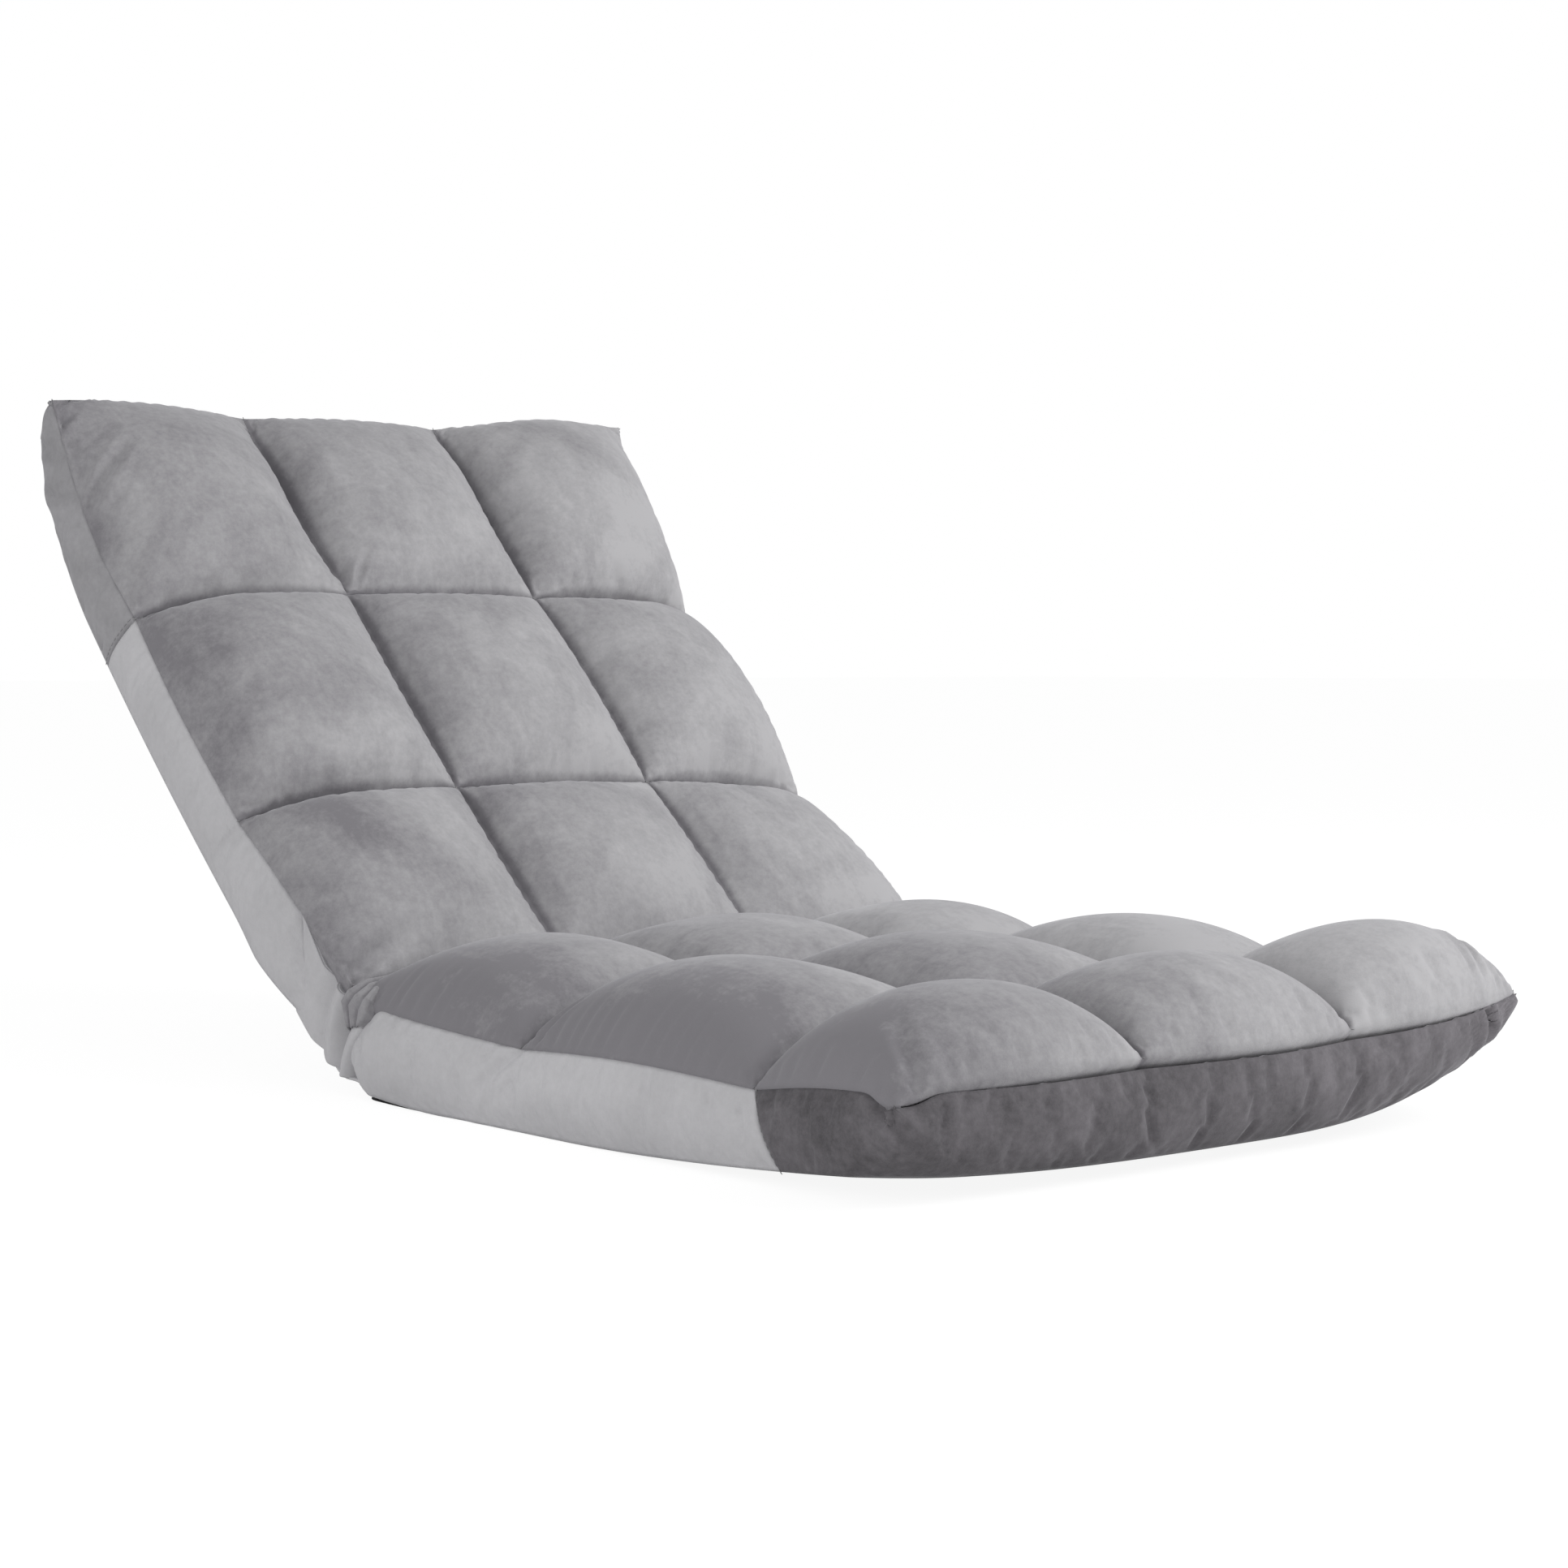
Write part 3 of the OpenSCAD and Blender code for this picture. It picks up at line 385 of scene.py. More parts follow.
def doubled(grid, breaks, axis):
    """The grid with a point added between each two along one axis, on a smooth curve that breaks at
    the given places."""
    g = np.moveaxis(grid, axis, 0)
    parts = []
    for a, b in zip(breaks[:-1], breaks[1:]):
        p = g[a:b + 1]
        wide = np.concatenate([[2 * p[0] - p[1]], p, [2 * p[-1] - p[-2]]])
        middle = (9 * (wide[1:-2] + wide[2:-1]) - wide[:-3] - wide[3:]) / 16
        out = np.empty((2 * len(p) - 1,) + p.shape[1:])
        out[0::2] = p
        out[1::2] = middle
        parts.append(out if not parts else out[1:])
    return np.moveaxis(np.concatenate(parts), 0, axis)


def normals_of(grid):
    du = np.gradient(grid, axis=0)
    dv = np.gradient(grid, axis=1)
    n = np.cross(dv, du)
    return n / np.maximum(np.linalg.norm(n, axis=-1, keepdims=True), LEAST_LENGTH)


def grid_quads(rows, cols, first=0, flip=False):
    i, j = np.meshgrid(np.arange(rows - 1), np.arange(cols - 1), indexing="ij")
    a = (first + i * cols + j).ravel()
    quads = np.stack([a, a + 1, a + cols + 1, a + cols], -1)
    return quads[:, ::-1] if flip else quads


def border_of(rows, cols):
    """Places of a grid's border points, once round."""
    return np.concatenate([
        np.arange(cols - 1), np.arange(rows - 1) * cols + cols - 1,
        (rows - 1) * cols + np.arange(cols - 1, 0, -1), np.arange(rows - 1, 0, -1) * cols])


def linked(name, data):
    """A new object of the scene for a mesh, a lamp or a camera."""
    made = bpy.data.objects.new(name, data)
    bpy.context.scene.collection.objects.link(made)
    return made


def new_piece(name, points, faces, material, pile=None):
    """A mesh object at the origin with smooth faces that point outwards. pile is its Pile attribute: painted
    light and shade.
    """
    mesh = bpy.data.meshes.new(name)
    mesh.from_pydata([tuple(p) for p in points], [], [tuple(int(i) for i in f) for f in faces])
    lie = mesh.attributes.new("Pile", "FLOAT", "POINT")
    lie.data.foreach_set("value", np.full(len(points), 0.5) if pile is None else pile)
    bm = bmesh.new()
    bm.from_mesh(mesh)
    bmesh.ops.remove_doubles(bm, verts=bm.verts, dist=TINY)
    bmesh.ops.recalc_face_normals(bm, faces=bm.faces)
    bm.to_mesh(mesh)
    bm.free()
    mesh.shade_smooth()
    mesh.materials.append(material)
    return linked(name, mesh)


def shell_piece(name, outer, inner, material, pile=None):
    """A closed shell between two grids."""
    rows, cols = outer.shape[:2]
    n = rows * cols
    border = border_of(rows, cols)
    after = np.roll(border, -1)
    sides = np.stack([border, after, after + n, border + n], -1)
    faces = np.concatenate([grid_quads(rows, cols), grid_quads(rows, cols, n, True), sides])
    lie = None if pile is None else np.concatenate([pile.ravel(), pile.ravel()])
    return new_piece(name, np.concatenate([outer.reshape(-1, 3), inner.reshape(-1, 3)]), faces, material, lie)


def cushion_piece(name, top, floor_points, material, pile):
    """A closed cushion: its top grid, walls down to the floor points of its border, and a flat base."""
    rows, cols = top.shape[:2]
    n = rows * cols
    border = border_of(rows, cols)
    after = np.roll(np.arange(len(border)), -1)
    walls = [(border[i], border[after[i]], n + after[i], n + i) for i in range(len(border))]
    right = cols - 1
    left = [0] + [len(border) - k for k in range(1, rows - 1)] + [right + rows - 1 + cols - 1]
    base = [tuple(n + np.arange(0, cols)) + (n + right + 1, n + left[1])]
    for k in range(1, rows - 2):
        base.append((n + left[k], n + right + k, n + right + k + 1, n + left[k + 1]))
    last = right + rows - 1
    base.append((n + left[rows - 2], n + right + rows - 2) + tuple(n + np.arange(last, last + cols)))
    faces = [tuple(f) for f in grid_quads(rows, cols)] + walls + base
    lie = np.concatenate([pile.ravel(), np.zeros(len(floor_points))])
    return new_piece(name, np.concatenate([top.reshape(-1, 3), floor_points]), faces, material, lie)


# Creases placed one by one: lines on the cloth, each with its width and depth

CREASES = {
    "seat": (
        (((-0.258, 0.212), (-0.24, 0.222), (-0.226, 0.232)), 0.003, 0.003),
        (((0.219, 0.556), (0.222, 0.53), (0.236, 0.5)), 0.0034, 0.004),
        (((0.204, 0.556), (0.212, 0.528)), 0.0026, 0.0022),
        (((-0.252, 0.56), (-0.24, 0.528), (-0.228, 0.508)), 0.004, 0.004),
        (((-0.232, 0.56), (-0.224, 0.535)), 0.003, 0.0025),
    ),
    "back": (
        (((-0.256, 0.492), (-0.224, 0.527)), 0.004, 0.006),
        (((-0.262, 0.507), (-0.25, 0.524)), 0.0032, 0.004),
        (((-0.258, 0.47), (-0.237, 0.485)), 0.003, 0.0035),
        (((-0.256, 0.582), (-0.242, 0.594)), 0.0028, 0.0045),
        (((-0.262, 0.56), (-0.247, 0.574)), 0.0032, 0.004),
        (((-0.258, 0.545), (-0.252, 0.52)), 0.0028, 0.0025),
        (((-0.05, 0.506), (-0.01, 0.458), (0.024, 0.415)), 0.0075, 0.0022),
        (((-0.066, 0.49), (-0.027, 0.48)), 0.0065, 0.0016),
        (((-0.083, 0.394), (-0.08, 0.418)), 0.0026, 0.003),
        (((-0.077, 0.394), (-0.062, 0.42)), 0.0026, 0.003),
        (((-0.268, 0.006), (-0.236, 0.027), (-0.2, 0.04)), 0.0065, 0.007),
    ),
}
SIDE_CREASES = {
    "seat": (
        ("right", ((0.199, 0.006), (0.184, -0.0097), (0.169, -0.0232), (0.16, -0.035)), 0.0038, 0.0036),
        ("right", ((0.033, -0.008), (0.033, -0.04)), 0.003, 0.0014),
        ("right", ((0.071, 0.013), (0.075, -0.004)), 0.002, 0.001),
        ("right", ((0.087, 0.013), (0.09, -0.002)), 0.002, 0.0008),
        ("right", ((0.529, 0.013), (0.545, 0.001)), 0.0035, 0.004),
        ("end", ((-0.266, 0.001), (-0.248, -0.012)), 0.0035, 0.0035),
        ("end", ((-0.2333, 0.0125), (-0.237, -0.004)), 0.002, 0.0016),
        ("end", ((-0.2207, 0.0126), (-0.228, -0.004)), 0.0022, 0.0018),
        ("end", ((-0.2038, 0.0126), (-0.216, -0.003)), 0.0022, 0.0016),
        ("end", ((0.219, 0.034), (0.2235, 0.000)), 0.0038, 0.0055),
        ("end", ((0.207, 0.032), (0.212, 0.008)), 0.0028, 0.0022),
        ("end", ((0.112, 0.012), (0.124, 0.004)), 0.003, 0.0018),
        ("left", ((0.199, 0.006), (0.188, -0.015), (0.17, -0.035)), 0.0042, 0.003),
    ),
    "back": (
        ("right", ((0.533, -0.012), (0.494, 0.021)), 0.0038, 0.003),
        ("right", ((0.566, 0.006), (0.533, 0.026)), 0.0035, 0.003),
        ("right", ((0.47, 0.014), (0.462, -0.01)), 0.003, 0.0018),
        ("left", ((0.52, -0.015), (0.5, 0.018)), 0.004, 0.0025),
    ),
}
# a crease's raised rim: its height and its distance in crease widths; and how its depth tapers
CREASE_RIM = 0.45
CREASE_RIM_AT = 2.1
CREASE_TAPER = (0.35, 0.6)
# how squarely the boxing has to face a crease's side to take any of it
FACING_FROM = 0.2
SEAM_HOLD = 0.006


def crease_depth(a, b, path, width, depth):
    """How deep a crease along a path is at points (a, b). It has a rim on both sides."""
    path = np.array(path)
    near = np.full(a.shape, np.inf)
    taper = np.zeros(a.shape)
    lengths = np.linalg.norm(np.diff(path, axis=0), axis=1)
    walked = np.concatenate([[0], np.cumsum(lengths)]) / lengths.sum()
    for k, (start, end) in enumerate(zip(path[:-1], path[1:])):
        along = end - start
        share = clamp01(((a - start[0]) * along[0] + (b - start[1]) * along[1]) / (along @ along))
        gap = np.hypot(a - start[0] - share * along[0], b - start[1] - share * along[1])
        closer = gap < near
        near = np.where(closer, gap, near)
        place = mix(walked[k], walked[k + 1], share)
        taper = np.where(closer, np.sin(np.pi * (CREASE_TAPER[0] + CREASE_TAPER[1] * place)), taper)
    rim = CREASE_RIM * np.exp(-((near - CREASE_RIM_AT * width) / width) ** 2)
    return depth * taper * (np.exp(-(near / width) ** 2) - rim)


def creased_quilt(name, half, grid):
    x, s = grid[..., 0], grid[..., 1]
    inside = smooth((half.side_x(s) - np.abs(x)) / SEAM_HOLD)
    inside = inside * smooth((half.end_s(np.clip(x, *column_edges()[[0, 3]])) - s) / SEAM_HOLD)
    out = grid.copy()
    for path, width, depth in CREASES[name]:
        out[..., 2] -= inside * crease_depth(x, s, path, width, depth)
    return out


def creased_boxing(name, grid, outward):
    out = grid.copy()
    faces = {"right": (-outward[..., 0], grid[..., 1]), "left": (outward[..., 0], grid[..., 1]),
             "end": (outward[..., 1], grid[..., 0])}
    for face, path, width, depth in SIDE_CREASES[name]:
        facing, along = faces[face]
        sunk = crease_depth(along, grid[..., 2], path, width, depth) * smooth(2 * (facing - FACING_FROM))
        sunk[0] = 0
        out -= outward * sunk[..., None]
    return out


# The quilted tops

# painted light along each row of pillows: lighter towards the front of each seat row and the foot of each
# backrest row
PAINTED_LIGHT_ALONG = 0.22
# a painted highlight a little way out from each groove: where it lies, how wide it is and how light
RIM_AT = 0.0065
RIM_WIDE = 0.0025
PAINTED_RIM_HIGHLIGHT = 0.1
# painted shade in the grooves: how wide it is and how dark
GROOVE_SHADE_WIDE = 0.003
PAINTED_GROOVE_SHADE = 0.6

PILLOW_CELLS = 36
ROW_CELL = 0.0047
LEAST_ROW_CELLS = 12
GROOVE_GAP = 0.0004


class Quilt:
    """Grid of one half's quilted top: three rows of three pillows, sewn down along their lines."""

    def __init__(self, half):
        self.half = half
        self.row_cells = [max(LEAST_ROW_CELLS, round(r / ROW_CELL)) for r in half.rows]
        self.row_breaks = [0] + [int(v) for v in np.cumsum(self.row_cells)]
        self.column_breaks = [0, PILLOW_CELLS, 2 * PILLOW_CELLS, 3 * PILLOW_CELLS]
        shares = eased(PILLOW_CELLS)
        edges = column_edges()
        self.x = np.concatenate(
            [mix(edges[c], edges[c + 1], shares[:-1]) for c in range(3)] + [[edges[3]]])
        self.points = self.start_form()

    def start_form(self):
        half, x = self.half, self.x
        slope = math.tan(sizes().back_lean / 2)
        lines = []
        for row in range(3):
            for k, share in enumerate(eased(self.row_cells[row])):
                if row > 0 and k == 0:
                    continue
                first = half.lines[row] if row else sizes().crease * slope
                last = half.end_s(x) if row == 2 else half.lines[row + 1]
                s = mix(first, last, share) + 0 * x
                sew_s = mix(first, half.lines[row + 1], share) + 0 * x
                h = half.sewn_h(x, sew_s - (TINY if k == self.row_cells[row] else 0))
                column = half.column_rise(x, row)
                column[self.column_breaks] = 0
                rise = column * half.row_rise(x, row, share)
                crest = half.crest_h(x, sew_s, row) - sizes().swell
                h = mix(h, np.maximum(crest, h), rise)
                if row == 0 and k == 0:
                    s = h * slope + SOFT_GAP
                lines.append(np.stack([x * half.side_x(s) * 2 / sizes().width, s, h], -1))
        return np.array(lines)

    def pinned(self):
        held = np.zeros(self.points.shape[:2], bool)
        held[self.row_breaks, :] = True
        held[:, self.column_breaks] = True
        return held

    def kept_apart(self, grid):
        """The swollen grid with its pillows kept to their own side of the grooves, where they touch."""
        out = grid.copy()
        for c in (1, 2):
            at = self.column_breaks[c]
            line = self.points[:, at:at + 1, 0]
            before, after = out[:, at - PILLOW_CELLS:at, 0], out[:, at + 1:at + PILLOW_CELLS, 0]
            np.minimum(before, line - GROOVE_GAP, out=before)
            np.maximum(after, line + GROOVE_GAP, out=after)
        for row in (1, 2):
            at = self.row_breaks[row]
            line = self.half.lines[row]
            before, after = out[self.row_breaks[row - 1]:at, :, 1], out[at + 1:self.row_breaks[row + 1], :, 1]
            np.minimum(before, line - GROOVE_GAP, out=before)
            np.maximum(after, line + GROOVE_GAP, out=after)
        return out

    def pile(self, row):
        """Painted light and shade on a row's pillows: 0 dark, 1 light. It turns from one side of each pillow
        to the other and changes along the row, with a painted highlight beside the grooves and painted shade
        in them."""
        a, b = self.row_breaks[row:row + 2]
        cells = doubled(np.array([eased(self.row_cells[row])]).T[:, :, None], [0, b - a], 0)[:, 0, 0]
        x = doubled(self.x[:, None, None], self.column_breaks, 0)[:, 0, 0]
        across = np.interp(x, column_edges(), [0, 1, 2, 3])
        column = np.minimum(np.floor(across), 2)
        u = across - column
        v = cells if self.half.body == "seat" else 1 - cells
        sides = np.array(self.half.lies)[column.astype(int)]
        # painted light and shade: dark on one side of each pillow and light on the other, and changing along
        # the row
        lie = 0.5 + mix(sides[:, 0], sides[:, 1], u)[None, :] + PAINTED_LIGHT_ALONG * (v[:, None] - 0.5)
        near_line = np.abs(x[:, None] - column_edges()[None, 1:3]).min(1)
        before = cells if row > 0 else 1 + 0 * cells
        after = 1 - cells if row < 2 else 1 + 0 * cells
        groove = np.minimum(near_line[None, :], (np.minimum(before, after) * self.half.rows[row])[:, None])
        # a painted highlight beside each groove, and painted shade in it
        rim = np.exp(-((groove - RIM_AT) / RIM_WIDE) ** 2)
        crushed = np.exp(-(groove / GROOVE_SHADE_WIDE) ** 2)
        return lie + PAINTED_RIM_HIGHLIGHT * rim - PAINTED_GROOVE_SHADE * crushed


# The boxing: side panels and the wrap round the end, as one strip from fold to fold

SIDE_CELLS = 74
WRAP_SIDE_CELLS = 20
CORNER_CELLS = 12
END_CELLS = 90
BOXING_ROWS = 11
TOP_CORNER_R = 0.0015
LOW_CORNER_R = 0.052
END_TUCK = 0.016
BOXING_T = 0.0028
SEAM_IN = 0.0009
SEAM_DOWN = 0.0008
END_ROLL_LENGTH = 0.01
LEAST_DEEP = 0.003
CORNER_OPENS = 1.3
# height and length of the rise of the underside towards the fold, and of the seat panels' hem
FOLD_RISES = {"seat": (0.006, 0.03), "backrest": (0.024, 0.1)}
HEM_RISE = 0.0045
HEM_RISE_LENGTH = 0.12
HEM_START = 0.012
RISE_POWER = 1.2


class Boxing:
    """Grid of the strip: columns run round the half, rows run from the seam down to the bottom edge."""

    def __init__(self, half):
        self.half = half
        self.breaks = [0, SIDE_CELLS]
        for cells in (WRAP_SIDE_CELLS + 2 * CORNER_CELLS + END_CELLS + WRAP_SIDE_CELLS, SIDE_CELLS):
            self.breaks.append(self.breaks[-1] + cells)
        columns = [self.column(share) for share in np.linspace(0, 1, BOXING_ROWS + 1)]
        self.points = np.array(columns)

    def side(self, t):
        """Outline of one side at share t down the strip: place and outward direction."""
        half = self.half
        start = np.interp(t, np.linspace(0, 1, len(half.panel_ends)), half.panel_ends)
        seam = half.lines[2] + half.slant * t
        radius = mix(TOP_CORNER_R, LOW_CORNER_R, t ** CORNER_OPENS)
        corner_x = float(half.panel_x(half.length, t)) - radius
        corner_s = float(half.panel_end_s(np.array([corner_x]), t)[0]) - radius
        s = np.concatenate([
            np.linspace(start, seam, SIDE_CELLS + 1),
            np.linspace(seam, corner_s, WRAP_SIDE_CELLS + 1)[1:]])
        x = half.panel_x(s, t)
        x = x - half.end_roll * clamp01(1 - (s - start) / END_ROLL_LENGTH) ** 2
        sides = [np.stack([x, s, np.ones_like(s), np.zeros_like(s)], -1)]
        turn = np.linspace(0, math.pi / 2, CORNER_CELLS + 1)[1:]
        sides.append(np.stack([
            corner_x + radius * np.cos(turn), corner_s + radius * np.sin(turn),
            np.cos(turn), np.sin(turn)], -1))
        return np.concatenate(sides), corner_x

    def column(self, t):
        half = self.half
        side, corner_x = self.side(t)
        x = np.linspace(corner_x, -corner_x, END_CELLS + 1)[1:-1]
        front = np.stack([x, half.panel_end_s(x, t), np.zeros_like(x), np.ones_like(x)], -1)
        other = side[::-1] * np.array([-1, 1, -1, 1])
        path = np.concatenate([side, front, other])
        out = sizes().bulge * hump(t) - END_TUCK * t ** 3 * path[:, 3] - (SEAM_IN if t == 0 else 0)
        x = path[:, 0] + path[:, 2] * out
        s = path[:, 1] + path[:, 3] * out
        top = half.seam_h(*half.sewn_place(path[:, 0], path[:, 1])) - SEAM_DOWN
        low = PANEL_LOW + half.lift + half.low_curl(x, s) + fold_rise(half, s) + hem_rise(half, s)
        return np.stack([x, s, mix(top, np.minimum(low, top - LEAST_DEEP), t)], -1)

    def pinned(self):
        held = np.zeros(self.points.shape[:2], bool)
        held[[0, -1], :] = True
        held[:, self.breaks] = True
        return held


def fold_rise(half, s):
    """Rise of the underside towards the fold."""
    height, length = FOLD_RISES[half.body]
    return height * clamp01(1 - s / length) ** RISE_POWER


def hem_rise(half, s):
    """How far the seat's side panels stop above its black underside, near the fold."""
    if half.body != "seat":
        return 0 * s
    return HEM_RISE * clamp01(1 - s / HEM_RISE_LENGTH) ** RISE_POWER * smooth(s / HEM_START)


# Cloth simulation: the filling swells every cover of a half at once, held along its sewn lines

def swollen(grids, held, flips):
    """The grids after the filling has pressed them out. flips says whose rows run the other way."""
    filling = bpy.context.scene.chair_filling
    points, faces, first = [], [], 0
    for grid, flip in zip(grids, flips):
        rows, cols = grid.shape[:2]
        points.append(grid.reshape(-1, 3))
        faces.append(grid_quads(rows, cols, first, flip))
        first += rows * cols
    start = np.concatenate(points)
    pins = np.concatenate([h.ravel() for h in held])
    mesh = bpy.data.meshes.new("cloth_form")
    mesh.from_pydata(start.tolist(), [], np.concatenate(faces).tolist())
    form = linked("cloth_form", mesh)
    form.vertex_groups.new(name="sewn").add([int(i) for i in np.nonzero(pins)[0]], 1.0, "REPLACE")
    cloth = form.modifiers.new("Cloth", "CLOTH")
    rules = {
        "quality": 5, "tension_stiffness": 15, "compression_stiffness": 15, "bending_stiffness": 0.6,
        "vertex_group_mass": "sewn", "shrink_min": -filling.slack, "use_pressure": True,
        "uniform_pressure_force": filling.pressure}
    for name, value in rules.items():
        setattr(cloth.settings, name, value)
    cloth.settings.effector_weights.gravity = 0
    cloth.collision_settings.use_collision = False
    for number in range(1, filling.frames + 1):
        bpy.context.scene.frame_set(number)
    made = form.evaluated_get(bpy.context.evaluated_depsgraph_get()).to_mesh()
    end = np.empty(len(made.vertices) * 3)
    made.vertices.foreach_get("co", end)
    end = end.reshape(-1, 3)
    bpy.data.objects.remove(form)
    bpy.context.scene.frame_set(1)
    move = end - start
    far = np.maximum(np.linalg.norm(move, axis=-1, keepdims=True), LEAST_LENGTH)
    end = start + move * np.minimum(1, filling.most / far)
    out, first = [], 0
    for grid in grids:
        count = grid.shape[0] * grid.shape[1]
        out.append(end[first:first + count].reshape(grid.shape))
        first += count
    return out


COVERS = {}


def covers_of(name):
    """Swollen quilt and boxing grids of a half, made once."""
    if name not in COVERS:
        half = make_halves()[name]
        quilt, boxing = Quilt(half), Boxing(half)
        grids = swollen(
            [quilt.points, boxing.points], [quilt.pinned(), boxing.pinned()], [False, True])
        grids[0] = quilt.kept_apart(grids[0])
        COVERS[name] = (half, quilt, boxing, grids)
    return COVERS[name]


# Shader groups and materials

# tone, roughness and relief of the velvets
VELVET_SURFACE = {
    "Roughness": 0.92, "Specular IOR Level": 0.18, "Sheen Roughness": 0.38,
    "Sheen Tint": (0.93, 0.93, 0.97, 1)}
VELVET_SPAN = 0.52
VELVET_RELIEF = (0.25, 0.0006)
STREAK_SCALE = (60, 22, 22)
STREAK_TURN = (0.2, 0.3, 0.6)
BRUSHED_RANGE = (0.3, 0.7)
# share of the pile's tone that its short ruffled tufts change
NAP_SHARE = 1.15
GRAIN_RANGE = (0.35, 0.65)
WEAVE_RELIEF = (0.5, 0.0003)
GRAIN_RELIEF = 0.4


class Nodes:
    """Adds nodes to a tree, fills their inputs and links them."""

    def __init__(self, tree):
        self.tree = tree

    def fill(self, node, inputs):
        """Each input takes a value, another node's socket, or another node's first output."""
        for key, value in inputs.items():
            if isinstance(value, bpy.types.Node):
                value = value.outputs[0]
            if isinstance(value, bpy.types.NodeSocket):
                self.tree.links.new(value, node.inputs[key])
            else:
                node.inputs[key].default_value = value

    def add(self, kind, inputs=(), **settings):
        made = self.tree.nodes.new(kind)
        for name, value in settings.items():
            setattr(made, name, value)
        self.fill(made, dict(inputs))
        return made

    def maths(self, operation, *values):
        return self.add("ShaderNodeMath", enumerate(values), operation=operation)

    def noise(self, inputs):
        return self.add("ShaderNodeTexNoise", inputs)

    def group(self, tree, inputs):
        """The outputs of a shader group placed in this tree."""
        return self.add("ShaderNodeGroup", inputs, node_tree=tree).outputs

    def object_place(self):
        return self.add("ShaderNodeTexCoord").outputs["Object"]

    def dress(self, surface, tone, dark, light, relief, strength, depth, ends=(0.0, 1.0)):
        """Colours a surface between two tones and raises its relief."""
        ramp = self.add("ShaderNodeValToRGB", {"Fac": tone})
        for k, (end, colour) in enumerate(zip(ends, (dark, light))):
            ramp.color_ramp.elements[k].position = end
            ramp.color_ramp.elements[k].color = (*colour, 1)
        bump = self.add("ShaderNodeBump", {"Strength": strength, "Distance": depth, "Height": relief})
        self.fill(surface, {"Base Color": ramp, "Normal": bump})


def new_material(name, inputs):
    """A material, its nodes, and its surface with some inputs filled."""
    made = bpy.data.materials.new(name)
    made.use_nodes = True
    nodes = Nodes(made.node_tree)
    surface = made.node_tree.nodes["Principled BSDF"]
    nodes.fill(surface, inputs)
    return made, nodes, surface


def node_group(name, kind, inputs, outputs, build):
    """The node group of that name, built when it is first asked for. A socket is given by its kind, or
    by a number, which is its default. build fills the group's outputs from its inputs."""
    if name in bpy.data.node_groups:
        return bpy.data.node_groups[name]
    tree = bpy.data.node_groups.new(name, kind)
    for in_out, sockets in (("INPUT", inputs), ("OUTPUT", outputs)):
        for label, what in sockets.items():
            number = isinstance(what, float)
            socket = "NodeSocketFloat" if number else f"NodeSocket{what}"
            made = tree.interface.new_socket(name=label, in_out=in_out, socket_type=socket)
            if number:
                made.default_value = what
    nodes = Nodes(tree)
    enter, leave = nodes.add("NodeGroupInput"), nodes.add("NodeGroupOutput")
    nodes.fill(leave, build(nodes, enter.outputs))
    return tree


def pile_group():
    """Velvet pile: how it is brushed in soft patches and streaks, and the relief of its fibres."""
    def build(nodes, enter):
        move = nodes.add("ShaderNodeVectorMath", {0: enter["Vector"], 1: enter["Shift"]}, operation="ADD")
        patches = nodes.noise({
            "Vector": move, "Scale": enter["Patch size"], "Detail": 4, "Roughness": 0.55, "Distortion": 0.9})
        stretch = nodes.add(
            "ShaderNodeMapping", {"Vector": move, "Scale": STREAK_SCALE, "Rotation": STREAK_TURN})
        streaks = nodes.noise(
            {"Vector": stretch, "Scale": 1, "Detail": 5, "Roughness": 0.65, "Distortion": 0.6})
        blend = nodes.add("ShaderNodeMix", {"Factor": enter["Streaks"], "A": patches, "B": streaks})
        low, high = BRUSHED_RANGE
        spread = nodes.add("ShaderNodeMapRange", {"Value": blend, "From Min": low, "From Max": high})
        nap = nodes.noise({"Vector": move, "Scale": 180, "Detail": 6, "Roughness": 0.75})
        ruffled = nodes.maths("MULTIPLY_ADD", nap, NAP_SHARE, spread)
        fibres = nodes.noise({"Vector": enter["Vector"], "Scale": 1400, "Detail": 2})
        return {"Brushed": nodes.maths("SUBTRACT", ruffled, NAP_SHARE / 2), "Fibres": fibres}
    return node_group(
        "Brushed pile", "ShaderNodeTree",
        {"Vector": "Vector", "Patch size": 9.0, "Streaks": 0.35, "Shift": 0.0},
        {"Brushed": "Float", "Fibres": "Float"}, build)


def weave_group():
    """Plain weave: two crossing sets of threads."""
    def build(nodes, enter):
        scaled = nodes.add(
            "ShaderNodeVectorMath", {0: enter["Vector"], "Scale": enter["Threads per metre"]},
            operation="SCALE")
        split = nodes.add("ShaderNodeSeparateXYZ", {0: scaled}).outputs
        waves = [nodes.maths("SINE", split[axis]) for axis in ("X", "Y")]
        cross = nodes.maths("MULTIPLY", *waves)
        return {"Weave": nodes.add("ShaderNodeMapRange", {"Value": cross, "From Min": -1})}
    return node_group(
        "Plain weave", "ShaderNodeTree", {"Vector": "Vector", "Threads per metre": 1400.0},
        {"Weave": "Float"}, build)


def grain_group():
    """Fine speckle and large smears, for paint, metal, foam and nylon."""
    def build(nodes, enter):
        return {target: nodes.noise({"Vector": enter["Vector"], "Scale": enter[source], "Detail": detail})
                for source, target, detail in (("Fine scale", "Fine", 2), ("Smear scale", "Smears", 5))}
    return node_group(
        "Grain", "ShaderNodeTree", {"Vector": "Vector", "Fine scale": 900.0, "Smear scale": 25.0},
        {"Fine": "Float", "Smears": "Float"}, build)


